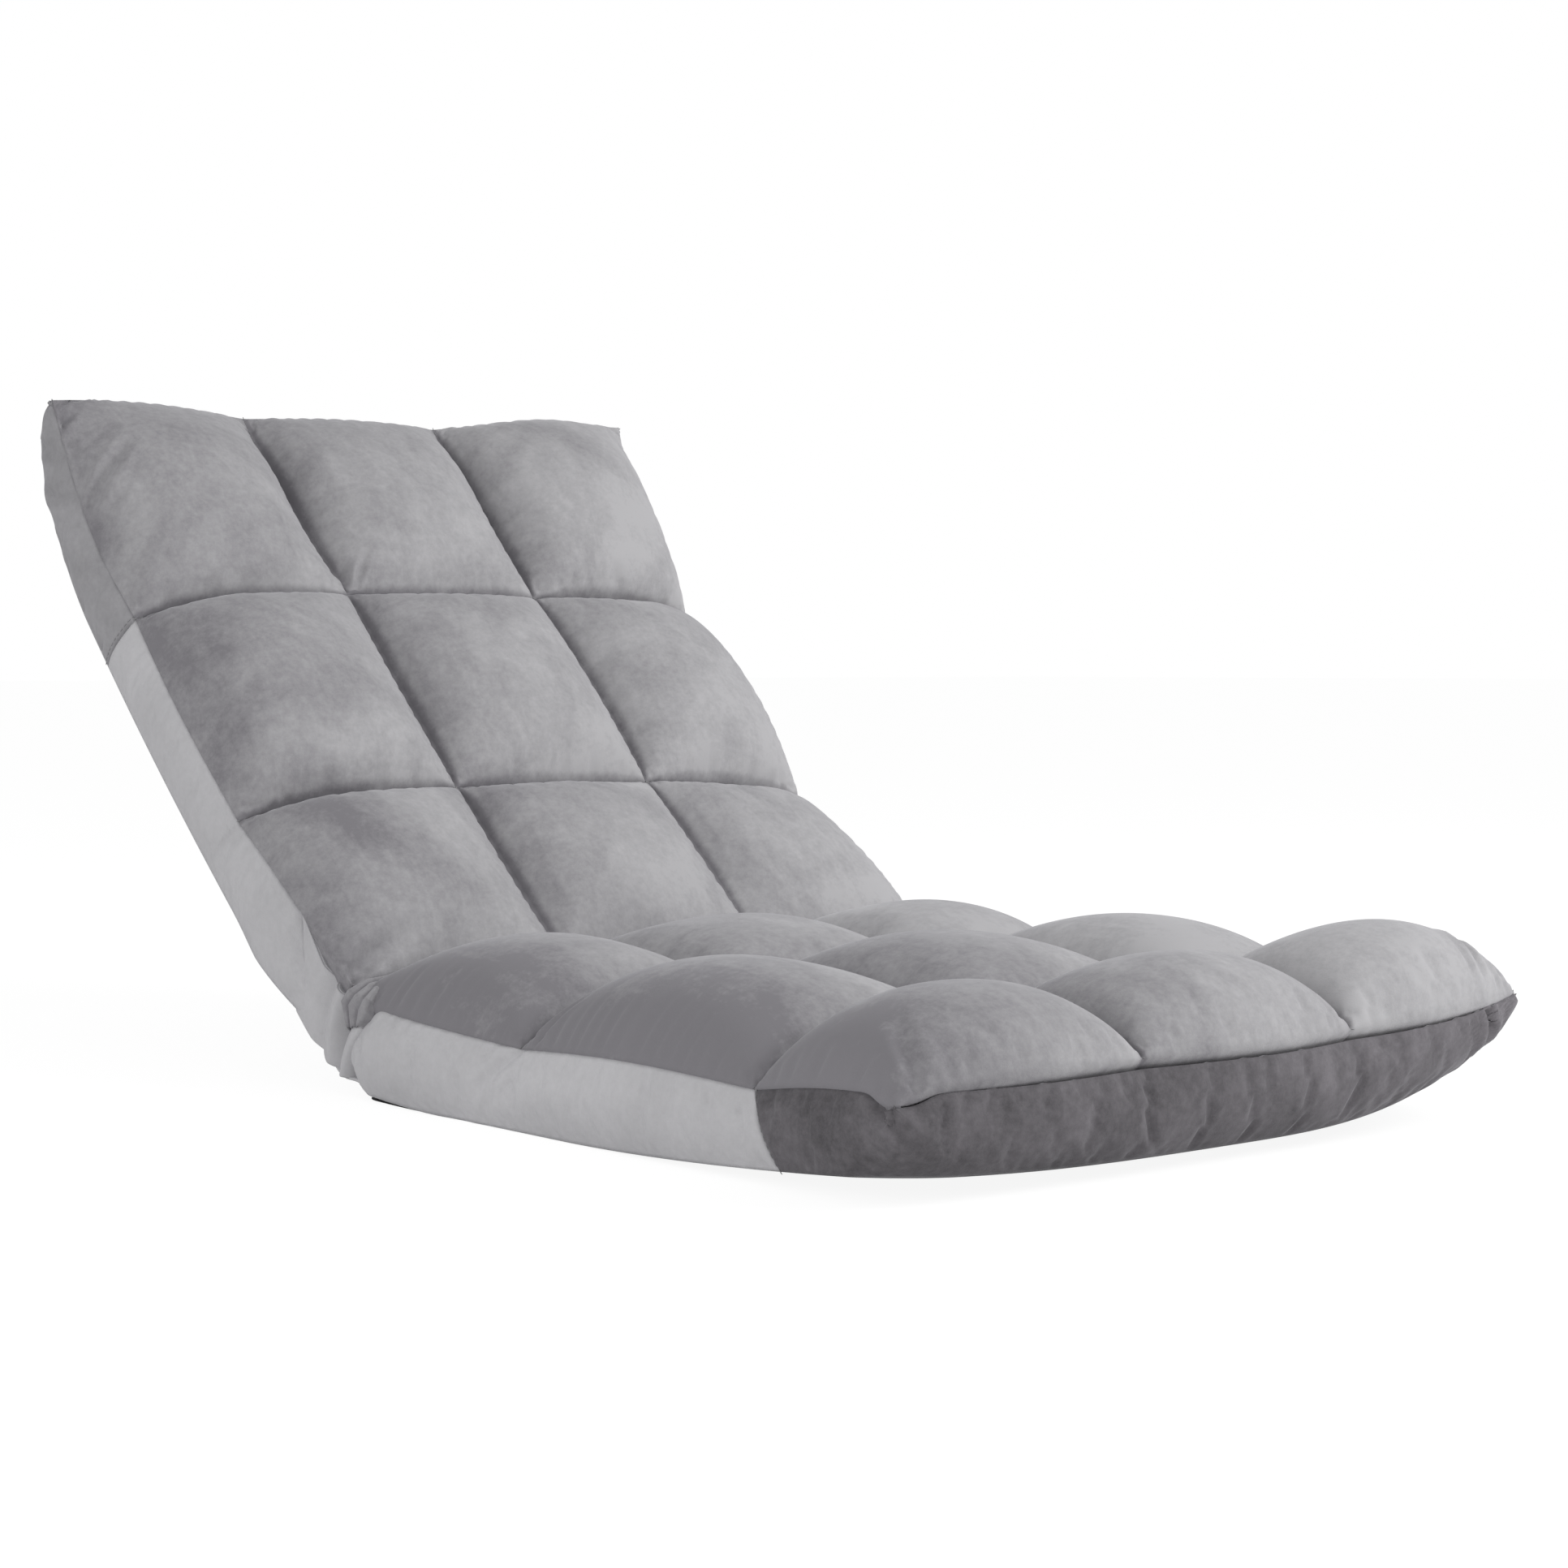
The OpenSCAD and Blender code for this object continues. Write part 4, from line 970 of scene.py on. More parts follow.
def velvet(name, dark, light, patch=9.0, streaks=0.35, shift=0.0, across=0.0, mottle=1.0, sheen=0.35):
    """Velvet between two tones, set by its mottling and by the Pile attribute, which on the quilts and the
    pockets carries painted light and shade. across is painted light that lightens the velvet from the chair's
    right side to its left, and mottle sets how patchy it is."""
    made, nodes, surface = new_material(name, {**VELVET_SURFACE, "Sheen Weight": sheen})
    place = nodes.object_place()
    pile = nodes.group(
        pile_group(), {"Vector": place, "Patch size": patch, "Streaks": streaks, "Shift": shift})
    split = nodes.add("ShaderNodeSeparateXYZ", {0: place})
    # the Pile attribute: painted light and shade on the quilts and the pockets
    lie = nodes.add("ShaderNodeAttribute", attribute_name="Pile").outputs["Fac"]
    # painted light across the chair, lighter towards its left side
    lean = nodes.maths("MULTIPLY_ADD", split, across / VELVET_SPAN, lie)
    mottled = nodes.maths("MULTIPLY_ADD", pile["Brushed"], mottle, lean)
    centred = nodes.maths("SUBTRACT", mottled, mottle / 2)
    nodes.dress(surface, centred, dark, light, pile["Fibres"], *VELVET_RELIEF)
    return made


def woven(name, dark, light, threads, roughness=0.9):
    made, nodes, surface = new_material(name, {"Roughness": roughness, "Specular IOR Level": 0.3})
    weave = nodes.group(weave_group(), {"Vector": nodes.object_place(), "Threads per metre": threads})[0]
    nodes.dress(surface, weave, dark, light, weave, *WEAVE_RELIEF)
    return made


def grained(name, dark, light, fine, smears, metallic, rough, depth):
    """Paint, metal, foam or nylon: tone and roughness vary with the smears, relief with the fine grain."""
    made, nodes, surface = new_material(name, {"Metallic": metallic})
    grain = nodes.group(
        grain_group(), {"Vector": nodes.object_place(), "Fine scale": fine, "Smear scale": smears})
    nodes.fill(surface, {"Roughness": nodes.add(
        "ShaderNodeMapRange", {"Value": grain["Smears"], "To Min": rough[0], "To Max": rough[1]})})
    nodes.dress(surface, grain["Smears"], dark, light, grain["Fine"], GRAIN_RELIEF, depth, GRAIN_RANGE)
    return made


def toned(colour, low, high):
    """A darker and a lighter tone of a colour."""
    return [tuple(min(1, c * share) for c in colour) for share in (low, high)]


def finish(name):
    """The material of that name, made when it is first asked for, in the colours that the user has set.
    The values stand in the order that velvet, woven and grained take them."""
    if name in bpy.data.materials:
        return bpy.data.materials[name]
    c = bpy.context.scene.chair_colours
    make, *values = {
        # the quilts and the seat's wrap take painted light across the chair, lighter towards its left side
        "quilt_velvet": (velvet, c.pile_dark_and_painted_shade, c.pile_light_and_painted_light, 11.0, 0.35, 0.0, 0.52, 0.75),
        "boxing_velvet": (velvet, *toned(c.boxing, 0.88, 1.08), 7.0, 0.25, 3.0),
        "seat_wrap_velvet": (velvet, *toned(c.wrap, 0.55, 1.7), 12.0, 0.35, 7.0, 0.25, 0.9, 0.3),
        "back_wrap_velvet": (velvet, *toned(c.top_wrap, 0.75, 1.25), 12.0, 0.35, 7.0, 0.0, 0.8),
        "underside_black": (woven, *toned(c.underside, 0.6, 1.8), 1500, 0.85),
        "backing_white": (woven, (0.5, 0.5, 0.5), (0.72, 0.72, 0.71), 2600),
        "webbing_black": (woven, (0.012, 0.012, 0.014), (0.045, 0.045, 0.05), 2200, 0.7),
        "thread_grey": (woven, *toned(c.thread, 0.6, 1.0), 6000, 0.7),
        "foam_cream": (grained, (0.66, 0.6, 0.42), (0.76, 0.7, 0.52), 1300, 12, 0, (0.9, 1.0), 0.0008),
        "frame_paint": (
            grained, (0.014, 0.014, 0.015), (0.03, 0.03, 0.032), 700, 30, 0, (0.38, 0.55), 0.0001),
        "zinc_plate": (
            grained, (0.42, 0.43, 0.45), (0.56, 0.56, 0.56), 1500, 60, 1, (0.28, 0.5), 0.00005),
        "spring_wire": (grained, (0.3, 0.31, 0.33), (0.42, 0.42, 0.43), 2000, 90, 1, (0.25, 0.4), 0.00004),
        "nylon_white": (grained, (0.7, 0.69, 0.64), (0.76, 0.75, 0.71), 500, 40, 0, (0.35, 0.5), 0.00005),
    }[name]
    return make(name, *values)


# Quilted rows as cushions, and the boxing

# a cushion's flat base: its height at the fold, and where it rises to it
BASE_AT_FOLD = 0.0215
BASE_TURN = 0.075
EDGE_TURN = 0.08
TURN_LENGTH = 0.03
BASE_BELOW = 0.002
# how near to a seam a point counts as the edge, and how far the base there lies in and down from it
EDGE_NEAR = 0.004
EDGE_IN = 0.011
EDGE_DOWN = 0.012
EDGE_DOWN_AT_FOLD = 0.034
UNDER_GROOVES = 0.004


def row_floor(half, top, row):
    """Points under a quilted row's border: the flat base of the cushion."""
    border = top.reshape(-1, 3)[border_of(*top.shape[:2])]
    x, s, h = border.T
    low = mix(half.core_top, BASE_AT_FOLD, clamp01((BASE_TURN - s) / TURN_LENGTH)) + half.solid_curl(s)
    low = low + half.layer_rise(x, s, low)
    edge = np.abs(x) > half.side_x(s) - EDGE_NEAR
    down = mix(EDGE_DOWN, EDGE_DOWN_AT_FOLD, clamp01((EDGE_TURN - s) / TURN_LENGTH))
    floor = np.stack([
        np.where(edge, x - np.sign(x) * EDGE_IN, x), s,
        np.where(edge, h - down, np.minimum(low, h - BASE_BELOW))], -1)
    if row == 2:
        end = s > half.end_s(x) - EDGE_NEAR
        floor[:, 1] = np.where(end, s - EDGE_IN, s)
        floor[:, 2] = np.where(end, np.maximum(floor[:, 2], h - EDGE_DOWN), floor[:, 2])
        under = half.line_h(0, s) - UNDER_GROOVES
        floor[:, 2] = np.where(edge | end, np.minimum(floor[:, 2], under), floor[:, 2])
    return floor


class CHAIR_OT_quilts(bpy.types.Operator):
    """Make the quilted rows of the seat and the backrest"""
    bl_idname = "chair.quilts"
    bl_label = "Quilted rows"

    ROW_NAMES = {"seat": ("rear", "middle", "front"), "back": ("lower", "middle", "top")}
    SEAM_SPAN = (0.35, 0.95)
    CRUSHED = 0.35

    def execute(self, context):
        for name, row_names in self.ROW_NAMES.items():
            half, quilt, _, grids = covers_of(name)
            for row, row_name in enumerate(row_names):
                a, b = quilt.row_breaks[row:row + 2]
                top = doubled(grids[0][a:b + 1], [0, b - a], 0)
                top = creased_quilt(name, half, doubled(top, quilt.column_breaks, 1))
                if row > 0:
                    top[0, :, 1] += SOFT_GAP / 2
                if row < 2:
                    top[-1, :, 1] -= SOFT_GAP / 2
                floor = row_floor(half, top, row)
                piece = cushion_piece(
                    f"{name}_{row_name}_pillows", half.world(top), half.world(floor),
                    finish("quilt_velvet"), quilt.pile(row))
                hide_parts(f"{name}_quilt_{row_name}")
                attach(piece, half.body)
                if row == 0:
                    axis, anchor = self.seam_plane(half)
                    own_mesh(piece)
                    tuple(axis)
                    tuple(anchor)
        return {"FINISHED"}

    def seam_plane(self, half):
        """Direction across and middle of the plane through the side seams of a half's first row."""
        s = np.array(self.SEAM_SPAN) * half.rows[0]
        first, last = half.world(np.stack([0 * s, s, half.seam_h(sizes().width / 2, s)], -1))
        across = np.cross((1, 0, 0), last - first)
        across = across / np.linalg.norm(across) * (1 if across[2] > 0 else -1)
        return tuple(float(v) for v in across), tuple(float(v) for v in (first + last) / 2)


class CHAIR_OT_boxing(bpy.types.Operator):
    """Make the side panels and the dark wraps round both ends"""
    bl_idname = "chair.boxing"
    bl_label = "Boxing"

    WRAP_NODES = {"seat": "seat_front_wrap", "back": "back_top_wrap"}

    def execute(self, context):
        for name in ("seat", "back"):
            half, _, boxing, grids = covers_of(name)
            strips = (("left_panel", "boxing_velvet", f"{name}_side_panel_left", "light_velvet"),
                      ("end_wrap", f"{name}_wrap_velvet", self.WRAP_NODES[name], "dark_velvet"),
                      ("right_panel", "boxing_velvet", f"{name}_side_panel_right", "light_velvet"))
            for (part, cloth, node, slot), a, b in zip(strips, boxing.breaks[:-1], boxing.breaks[1:]):
                outer = grids[1][:, a:b + 1]
                outer = doubled(doubled(outer, [0, b - a], 1), [0, BOXING_ROWS], 0)
                outer = creased_boxing(name, outer, -inward_of(outer))
                inner = outer + BOXING_T * inward_of(outer)
                piece = shell_piece(f"{name}_{part}", half.world(outer), half.world(inner), finish(cloth))
                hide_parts(node)
                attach(piece, half.body)
        return {"FINISHED"}


MIDDLE_S = 0.3


def inward_of(grid):
    """Unit directions from each point of a strip towards the inside of the cushion."""
    n = normals_of(grid)
    middle = grid[:, grid.shape[1] // 2].mean(0)
    centre = np.array([0, MIDDLE_S, middle[2]])
    facing = ((grid - centre) * n).sum(-1).mean()
    return -n if facing > 0 else n


# The fold: a gusset on each side, a strip under it and a strip in the crease

GUSSET_FOLDS = (
    # place (y, z) and distance out from the middle, at the top, halfway down and at the bottom
    ((0.199, 0.056, 0.2475), (0.212, 0.033, 0.2465), (0.229, 0.0085, 0.2455)),
    ((0.208, 0.057, 0.244), (0.2265, 0.0372, 0.2425), (0.246, 0.01, 0.2425)),
    ((0.226, 0.051, 0.2565), (0.2417, 0.0326, 0.259), (0.2538, 0.012, 0.257)),
    ((0.2473, 0.0575, 0.243), (0.2555, 0.0408, 0.243), (0.2618, 0.0145, 0.247)),
    ((0.2572, 0.0662, 0.2565), (0.2655, 0.0452, 0.258), (0.271, 0.0195, 0.2565)),
    ((0.2652, 0.0719, 0.25), (0.2756, 0.0474, 0.252), (0.28, 0.0268, 0.253)),
    ((0.2751, 0.0828, 0.2575), (0.2866, 0.0583, 0.2592), (0.29, 0.0355, 0.258)),
    ((0.301, 0.115, 0.257), (0.306, 0.085, 0.2576), (0.308, 0.05, 0.2572)),
)
GUSSET_CELLS = 8
POCKET = (
    # at five places from the gusset up into the fold: points (y, z) and distance out from the middle,
    # on the backrest's side, between the two quilts and on the seat's side
    ((0.247, 0.044, 0.256), (0.236, 0.0455, 0.258), (0.224, 0.047, 0.2585)),
    ((0.255, 0.061, 0.2558), (0.236, 0.059, 0.258), (0.212, 0.0565, 0.2598)),
    ((0.249, 0.0695, 0.254), (0.23, 0.066, 0.2572), (0.21, 0.064, 0.2592)),
    ((0.243, 0.0755, 0.2425), (0.2335, 0.0725, 0.245), (0.215, 0.0708, 0.2505)),
    ((0.242, 0.077, 0.2265), (0.2375, 0.075, 0.2245), (0.231, 0.073, 0.229)),
)
POCKET_CELLS = 36
POCKET_ROWS = 20
POCKET_FOLDS = 3
POCKET_DEEP = 0.0032
POCKET_TUCK = 0.005
POCKET_ROUND = 0.8
POCKET_EDGE = 0.12
POCKET_OUT = (0.75, -0.45, 0.48)
# tone of the pocket's pleats: painted shade in their valleys and painted light on their crests
POCKET_PLEAT_SHADING = 0.3
GUSSET_ROWS = 22
# the gusset's edges: shares of the turn at the lip and at the hem, and how far each turns
LIP_SHARES = (1.0, 0.7, 0.45, 0.25, 0.1)
LIP_IN = 0.016
LIP_ARCH = 0.0025
LIP_DOWN = 0.004
HEM_SHARES = (0.25, 0.6, 1.0)
HEM_IN = 0.012
HEM_DOWN = 0.0012
STRIP_T = 0.0016
# the strip under the fold, as points (y, z) from the seat to the backrest, and its sag
UNDER_PATH = (
    (0.228, 0.0072), (0.24, 0.0086), (0.253, 0.0106), (0.267, 0.0165), (0.28, 0.0255),
    (0.294, 0.0368), (0.31, 0.05), (0.327, 0.0634), (0.341, 0.075))
UNDER_HALF_W = 0.2525
UNDER_CELLS = 120
UNDER_SAG = (0.0016, 41)
UNDER_WAVES = (0.002, 5)
# the strip in the crease: places from the seat's quilt to the backrest's
CREASE_PLACES = (
    ("seat", 0.044), ("seat", 0.032), ("seat", 0.02), ("seat", 0.01), ("back", 0.004), ("back", 0.01),
    ("back", 0.02), ("back", 0.032), ("back", 0.044))
CREASE_HALF_W = 0.246
CREASE_CELLS = 60
CREASE_H = 0.0185


def curve_weights(t):
    """Weights of the first, middle and last of three points, for the curve through them at shares t."""
    return np.stack([(1 - t) * (1 - 2 * t), 4 * t * (1 - t), t * (2 * t - 1)], -1)


def across_folds(lines):
    """Points from fold to fold: rounded over each ridge and sharp in each crease."""
    out = [lines[0]]
    for k, (a, b) in enumerate(zip(lines[:-1], lines[1:])):
        for share in np.linspace(0, 1, GUSSET_CELLS + 1)[1:]:
            turn = math.pi / 2 * share
            rise = math.sin(turn) if k % 2 == 1 else 1 - math.cos(turn)
            out.append(np.array([*mix(a[:2], b[:2], share), mix(a[2], b[2], rise)]))
    return np.array(out)


def gusset_grid():
    """The gusset's folds, with a lip turned in above them and a hem turned in below."""
    folds = np.array(GUSSET_FOLDS)
    rows = [across_folds(np.einsum("i,kij->kj", weights, folds))
            for weights in curve_weights(np.linspace(0, 1, GUSSET_ROWS + 1))]
    grid = np.array(rows)[:, :, [2, 0, 1]]
    lip = [grid[0] + [-LIP_IN * share ** 2, 0,
                      LIP_ARCH * math.sin(math.pi * math.sqrt(share)) - LIP_DOWN * share ** 2]
           for share in LIP_SHARES]
    hem = [grid[-1] - [HEM_IN * share, 0, HEM_DOWN * share] for share in HEM_SHARES]
    return np.concatenate([lip, grid, hem])


class CHAIR_OT_fold_covers(bpy.types.Operator):
    """Make the gathered gussets, the strip under the fold and the strip in the crease"""
    bl_idname = "chair.fold_covers"
    bl_label = "Covers at the fold"

    def execute(self, context):
        for side, sign in (("left", 1), ("right", -1)):
            grid = gusset_grid()
            grid = doubled(grid, [0, len(grid) - 1], 0) * [sign, 1, 1]
            piece = shell_piece(
                f"fold_gusset_cloth_{side}", grid, grid - [sign * STRIP_T, 0, 0], finish("boxing_velvet"))
            self.pocket(side, sign)
            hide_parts(f"fold_gusset_{side}")
            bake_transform(piece)
        self.under_strip()
        self.crease_strip()
        return {"FINISHED"}

    def pocket(self, side, sign):
        """Pleated lining that fills the corner between the two quilts and the gusset's lip."""
        known = np.array(POCKET)
        places = np.linspace(0, len(known) - 1, POCKET_ROWS + 1)
        at = np.minimum(places.astype(int), len(known) - 2)
        along = known[at] + (known[at + 1] - known[at]) * (places - at)[:, None, None]
        share = np.linspace(0, 1, POCKET_CELLS + 1)
        grid = np.einsum("ui,aik->auk", curve_weights(share), along)[..., [2, 0, 1]]
        fold = np.abs(np.sin(np.pi * POCKET_FOLDS * share)) ** POCKET_ROUND
        edge = smooth(np.minimum(share, 1 - share) / POCKET_EDGE)
        out = POCKET_DEEP * fold * edge - POCKET_TUCK * (1 - edge)
        grid = (grid + out[None, :, None] * np.array(POCKET_OUT)) * [sign, 1, 1]
        # painted shade in the pleats' valleys and painted light on their crests
        lie = POCKET_PLEAT_SHADING * (1 + fold)[None, :] + np.zeros(grid.shape[:2])
        piece = shell_piece(
            f"fold_pocket_{side}", grid, grid - [sign * STRIP_T, 0, 0], finish("quilt_velvet"), lie)
        length = float(np.linalg.norm(np.diff(grid[:, 0], axis=0), axis=-1).sum())
        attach(piece, "seat")

    def under_strip(self):
        path = np.array(UNDER_PATH)
        for _ in range(2):
            path = doubled(path, [0, len(path) - 1], 0)
        x = np.linspace(-UNDER_HALF_W, UNDER_HALF_W, UNDER_CELLS + 1)
        along = np.linspace(0, 1, len(path))[:, None]
        sag = (UNDER_SAG[0] * np.sin(UNDER_SAG[1] * x)[None, :] * np.sin(np.pi * along)
               + UNDER_WAVES[0] * np.sin(UNDER_WAVES[1] * np.pi * along))
        grid = np.stack(np.broadcast_arrays(
            x[None, :], path[:, :1], path[:, 1:] + sag * np.sin(np.pi * along)), -1)
        piece = shell_piece("fold_strip", grid, grid + [0, 0, STRIP_T], finish("boxing_velvet"))
        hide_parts("fold_under_cover")
        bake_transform(piece)

    def crease_strip(self):
        halves = make_halves()
        x = np.linspace(-CREASE_HALF_W, CREASE_HALF_W, CREASE_CELLS + 1)
        grid = np.array([
            halves[name].world(np.stack([x, np.full_like(x, s), np.full_like(x, CREASE_H)], -1))
            for name, s in CREASE_PLACES])
        grid = doubled(grid, [0, len(grid) - 1], 0)
        piece = shell_piece("crease_strip", grid, grid - [0, 0, STRIP_T], finish("quilt_velvet"))
        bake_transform(piece)


# Flat covers: the black cloth under the seat and the cover on the rear of the backrest

# where the rear cover bulges over the ratchet plates
PLATE_ROOM = 0.0035
PLATE_S = 0.06
PLATE_SPREAD = 0.02
PLATE_EDGE_POWER = 12


class CHAIR_OT_flat_covers(bpy.types.Operator):
    """Make the seat's black underside and the backrest's rear cover"""
    bl_idname = "chair.flat_covers"
    bl_label = "Underside and rear cover"

    CELLS = (110, 90)
    SEAT_START = 0.03
    SEAT_INSET = 0.0034
    BACK_START = 0.042

    def grid(self, half, first, inset):
        """Grid of the sheet that closes a half from below, out to the hem of its boxing."""
        rows, cols = self.CELLS
        hem = Boxing(half).points[-1, :, :2]
        corner = SIDE_CELLS + WRAP_SIDE_CELLS + CORNER_CELLS // 2
        side, end = hem[:corner + 1], hem[corner:len(hem) - corner][::-1]
        t, u = np.linspace(0, 1, rows + 1)[:, None], np.linspace(-1, 1, cols + 1)[None, :]
        side_s = mix(first, side[-1, 1], t)
        side_x = np.interp(side_s, side[:, 1], side[:, 0])
        end_x = side[-1, 0] * u
        end_s = np.interp(end_x, end[:, 0], end[:, 1])
        x = u * side_x
        s = side_s + t * (end_s - side[-1, 1])
        x, s = x * (1 - 2 * inset / sizes().width), s - inset * t
        h = -HINGE_Z + half.lift + half.low_curl(x, s) + fold_rise(half, s)
        if half.body == "backrest":
            across = 1 - np.abs(u) ** PLATE_EDGE_POWER
            h = h - PLATE_ROOM * across * np.exp(-((s - PLATE_S) / PLATE_SPREAD) ** 2)
        return np.stack([x, s, h], -1)

    def make(self, name, half, first, inset, cloth, node, slot, held):
        grid = self.grid(half, first, inset)
        piece = shell_piece(name, half.world(grid), half.world(grid + [0, 0, CLOTH_T]), finish(cloth))
        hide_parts(node)
        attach(piece, half.body)

    def execute(self, context):
        halves = make_halves()
        self.make("seat_underside", halves["seat"], self.SEAT_START, self.SEAT_INSET, "underside_black",
                  "seat_underside_cloth", "black_underside", "laid")
        self.make("back_rear", halves["back"], self.BACK_START, 0.0, "boxing_velvet",
                  "back_rear_cover", "grey_velvet", "stretched")
        return {"FINISHED"}


# Stitches and grip dots: beads set out along lines by Geometry Nodes

class ChairBeads(bpy.types.PropertyGroup):
    """Stitches and grip dots."""
    stitch_pitch: FloatProperty(
        name="Stitch pitch", description="From one stitch to the next", unit="LENGTH", default=0.0048)
    stitch_length: FloatProperty(
        name="Stitch length", description="Length of one stitch", unit="LENGTH", default=0.0034)
    thread: FloatProperty(name="Thread", description="Thickness of the thread", unit="LENGTH", default=0.0007)
    dot_pitch: FloatProperty(
        name="Dot pitch", description="From one grip dot to the next", unit="LENGTH", default=0.016)
    dot: FloatProperty(name="Dot", description="Width of a grip dot", unit="LENGTH", default=0.0044)
    dot_height: FloatProperty(
        name="Dot height", description="How far a grip dot stands out", unit="LENGTH", default=0.0008)


def beads_tree():
    """Node tree that sets a stretched bead at even steps along the lines of a mesh."""
    def build(nodes, enter):
        curve = nodes.add("GeometryNodeMeshToCurve", {"Mesh": enter["Lines"]})
        steps = nodes.add(
            "GeometryNodeCurveToPoints", {"Curve": curve, "Length": enter["Pitch"]}, mode="LENGTH")
        turn = nodes.add(
            "FunctionNodeAlignRotationToVector", {"Vector": steps.outputs["Tangent"]}, axis="Z")
        bead = nodes.add("GeometryNodeMeshUVSphere", {"Segments": 6, "Rings": 4, "Radius": 0.5})
        place = nodes.add("GeometryNodeInstanceOnPoints", {
            "Points": steps, "Instance": bead, "Rotation": turn, "Scale": enter["Size"]})
        real = nodes.add("GeometryNodeRealizeInstances", {"Geometry": place})
        return {"Beads": nodes.add(
            "GeometryNodeSetMaterial", {"Geometry": real, "Material": enter["Finish"]})}
    return node_group(
        "Beads along lines", "GeometryNodeTree",
        {"Lines": "Geometry", "Pitch": 0.005, "Size": "Vector", "Finish": "Material"},
        {"Beads": "Geometry"}, build)


def beads(name, lines, pitch, size, material):
    """One mesh of beads along lines, each an array of points."""
    points, edges = [], []
    for line in lines:
        edges += [(len(points) + k, len(points) + k + 1) for k in range(len(line) - 1)]
        points += [tuple(p) for p in line]
    guide = bpy.data.meshes.new(f"{name}_lines")
    guide.from_pydata(points, edges, [])
    source = linked(f"{name}_lines", guide)
    tree = beads_tree()
    setter = source.modifiers.new("Beads", "NODES")
    setter.node_group = tree
    values = {"Pitch": pitch, "Size": size, "Finish": material}
    for item in tree.interface.items_tree:
        if item.in_out == "INPUT" and item.name in values:
            setter[item.identifier] = values[item.name]
    made = bpy.data.meshes.new_from_object(source.evaluated_get(bpy.context.evaluated_depsgraph_get()))
    made.name = name
    bpy.data.objects.remove(source)
    made.shade_smooth()
    return linked(name, made)


class CHAIR_OT_stitches(bpy.types.Operator):
    """Sew the quilting lines and the seams of the boxing"""
    bl_idname = "chair.stitches"
    bl_label = "Stitches"

    PROUD = 0.0004
    BESIDE = 0.35

    def execute(self, context):
        rules = context.scene.chair_beads
        for name in ("seat", "back"):
            half, quilt, boxing, grids = covers_of(name)
            lines = self.quilt_lines(half, quilt) + self.boxing_lines(half, boxing, grids[1])
            piece = beads(f"{name}_stitches", lines, rules.stitch_pitch,
                          (rules.thread, rules.thread, rules.stitch_length), finish("thread_grey"))
            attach(piece, half.body)
        return {"FINISHED"}

    def quilt_lines(self, half, quilt):
        raised = quilt.points + [0, 0, self.PROUD]
        lines = [raised[quilt.row_breaks[1]:, at] for at in quilt.column_breaks[1:3]]
        lines += [raised[at] for at in quilt.row_breaks[1:3]]
        return [half.world(line) for line in lines]

    def boxing_lines(self, half, boxing, grid):
        proud = grid - inward_of(grid) * self.PROUD
        lines = [mix(proud[:, at], proud[:, at + step], self.BESIDE)
                 for at, step in ((boxing.breaks[1], 1), (boxing.breaks[2], -1))]
        return [half.world(line) for line in lines]


class CHAIR_OT_grip_dots(bpy.types.Operator):
    """Set rubber dots on the seat's underside"""
    bl_idname = "chair.grip_dots"
    bl_label = "Grip dots"

    FIRST_S = 0.07
    LAST_S = 0.3
    HALF_X = 0.208

    def execute(self, context):
        rules = context.scene.chair_beads
        lines = []
        for k, s in enumerate(np.arange(self.FIRST_S, self.LAST_S, rules.dot_pitch)):
            shift = rules.dot_pitch / 2 * (k % 2)
            x = np.array([-self.HALF_X + shift, self.HALF_X + shift])
            lines.append(np.stack([x, np.full(2, HINGE_Y - s), np.full(2, rules.dot_height / 2)], -1))
        piece = beads("underside_grip_dots", lines, rules.dot_pitch, (rules.dot_height, rules.dot, rules.dot),
                      finish("underside_black"))
        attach(piece, "seat")
        return {"FINISHED"}


# Foam slabs and quilt backings, which take on the curl of the covers

CORE_R = 0.045
CORE_HALF_W = 0.2487
CORE_END_IN = 0.0203
SLICE = 0.022
SLICES_ACROSS = (-0.242, 0.243)


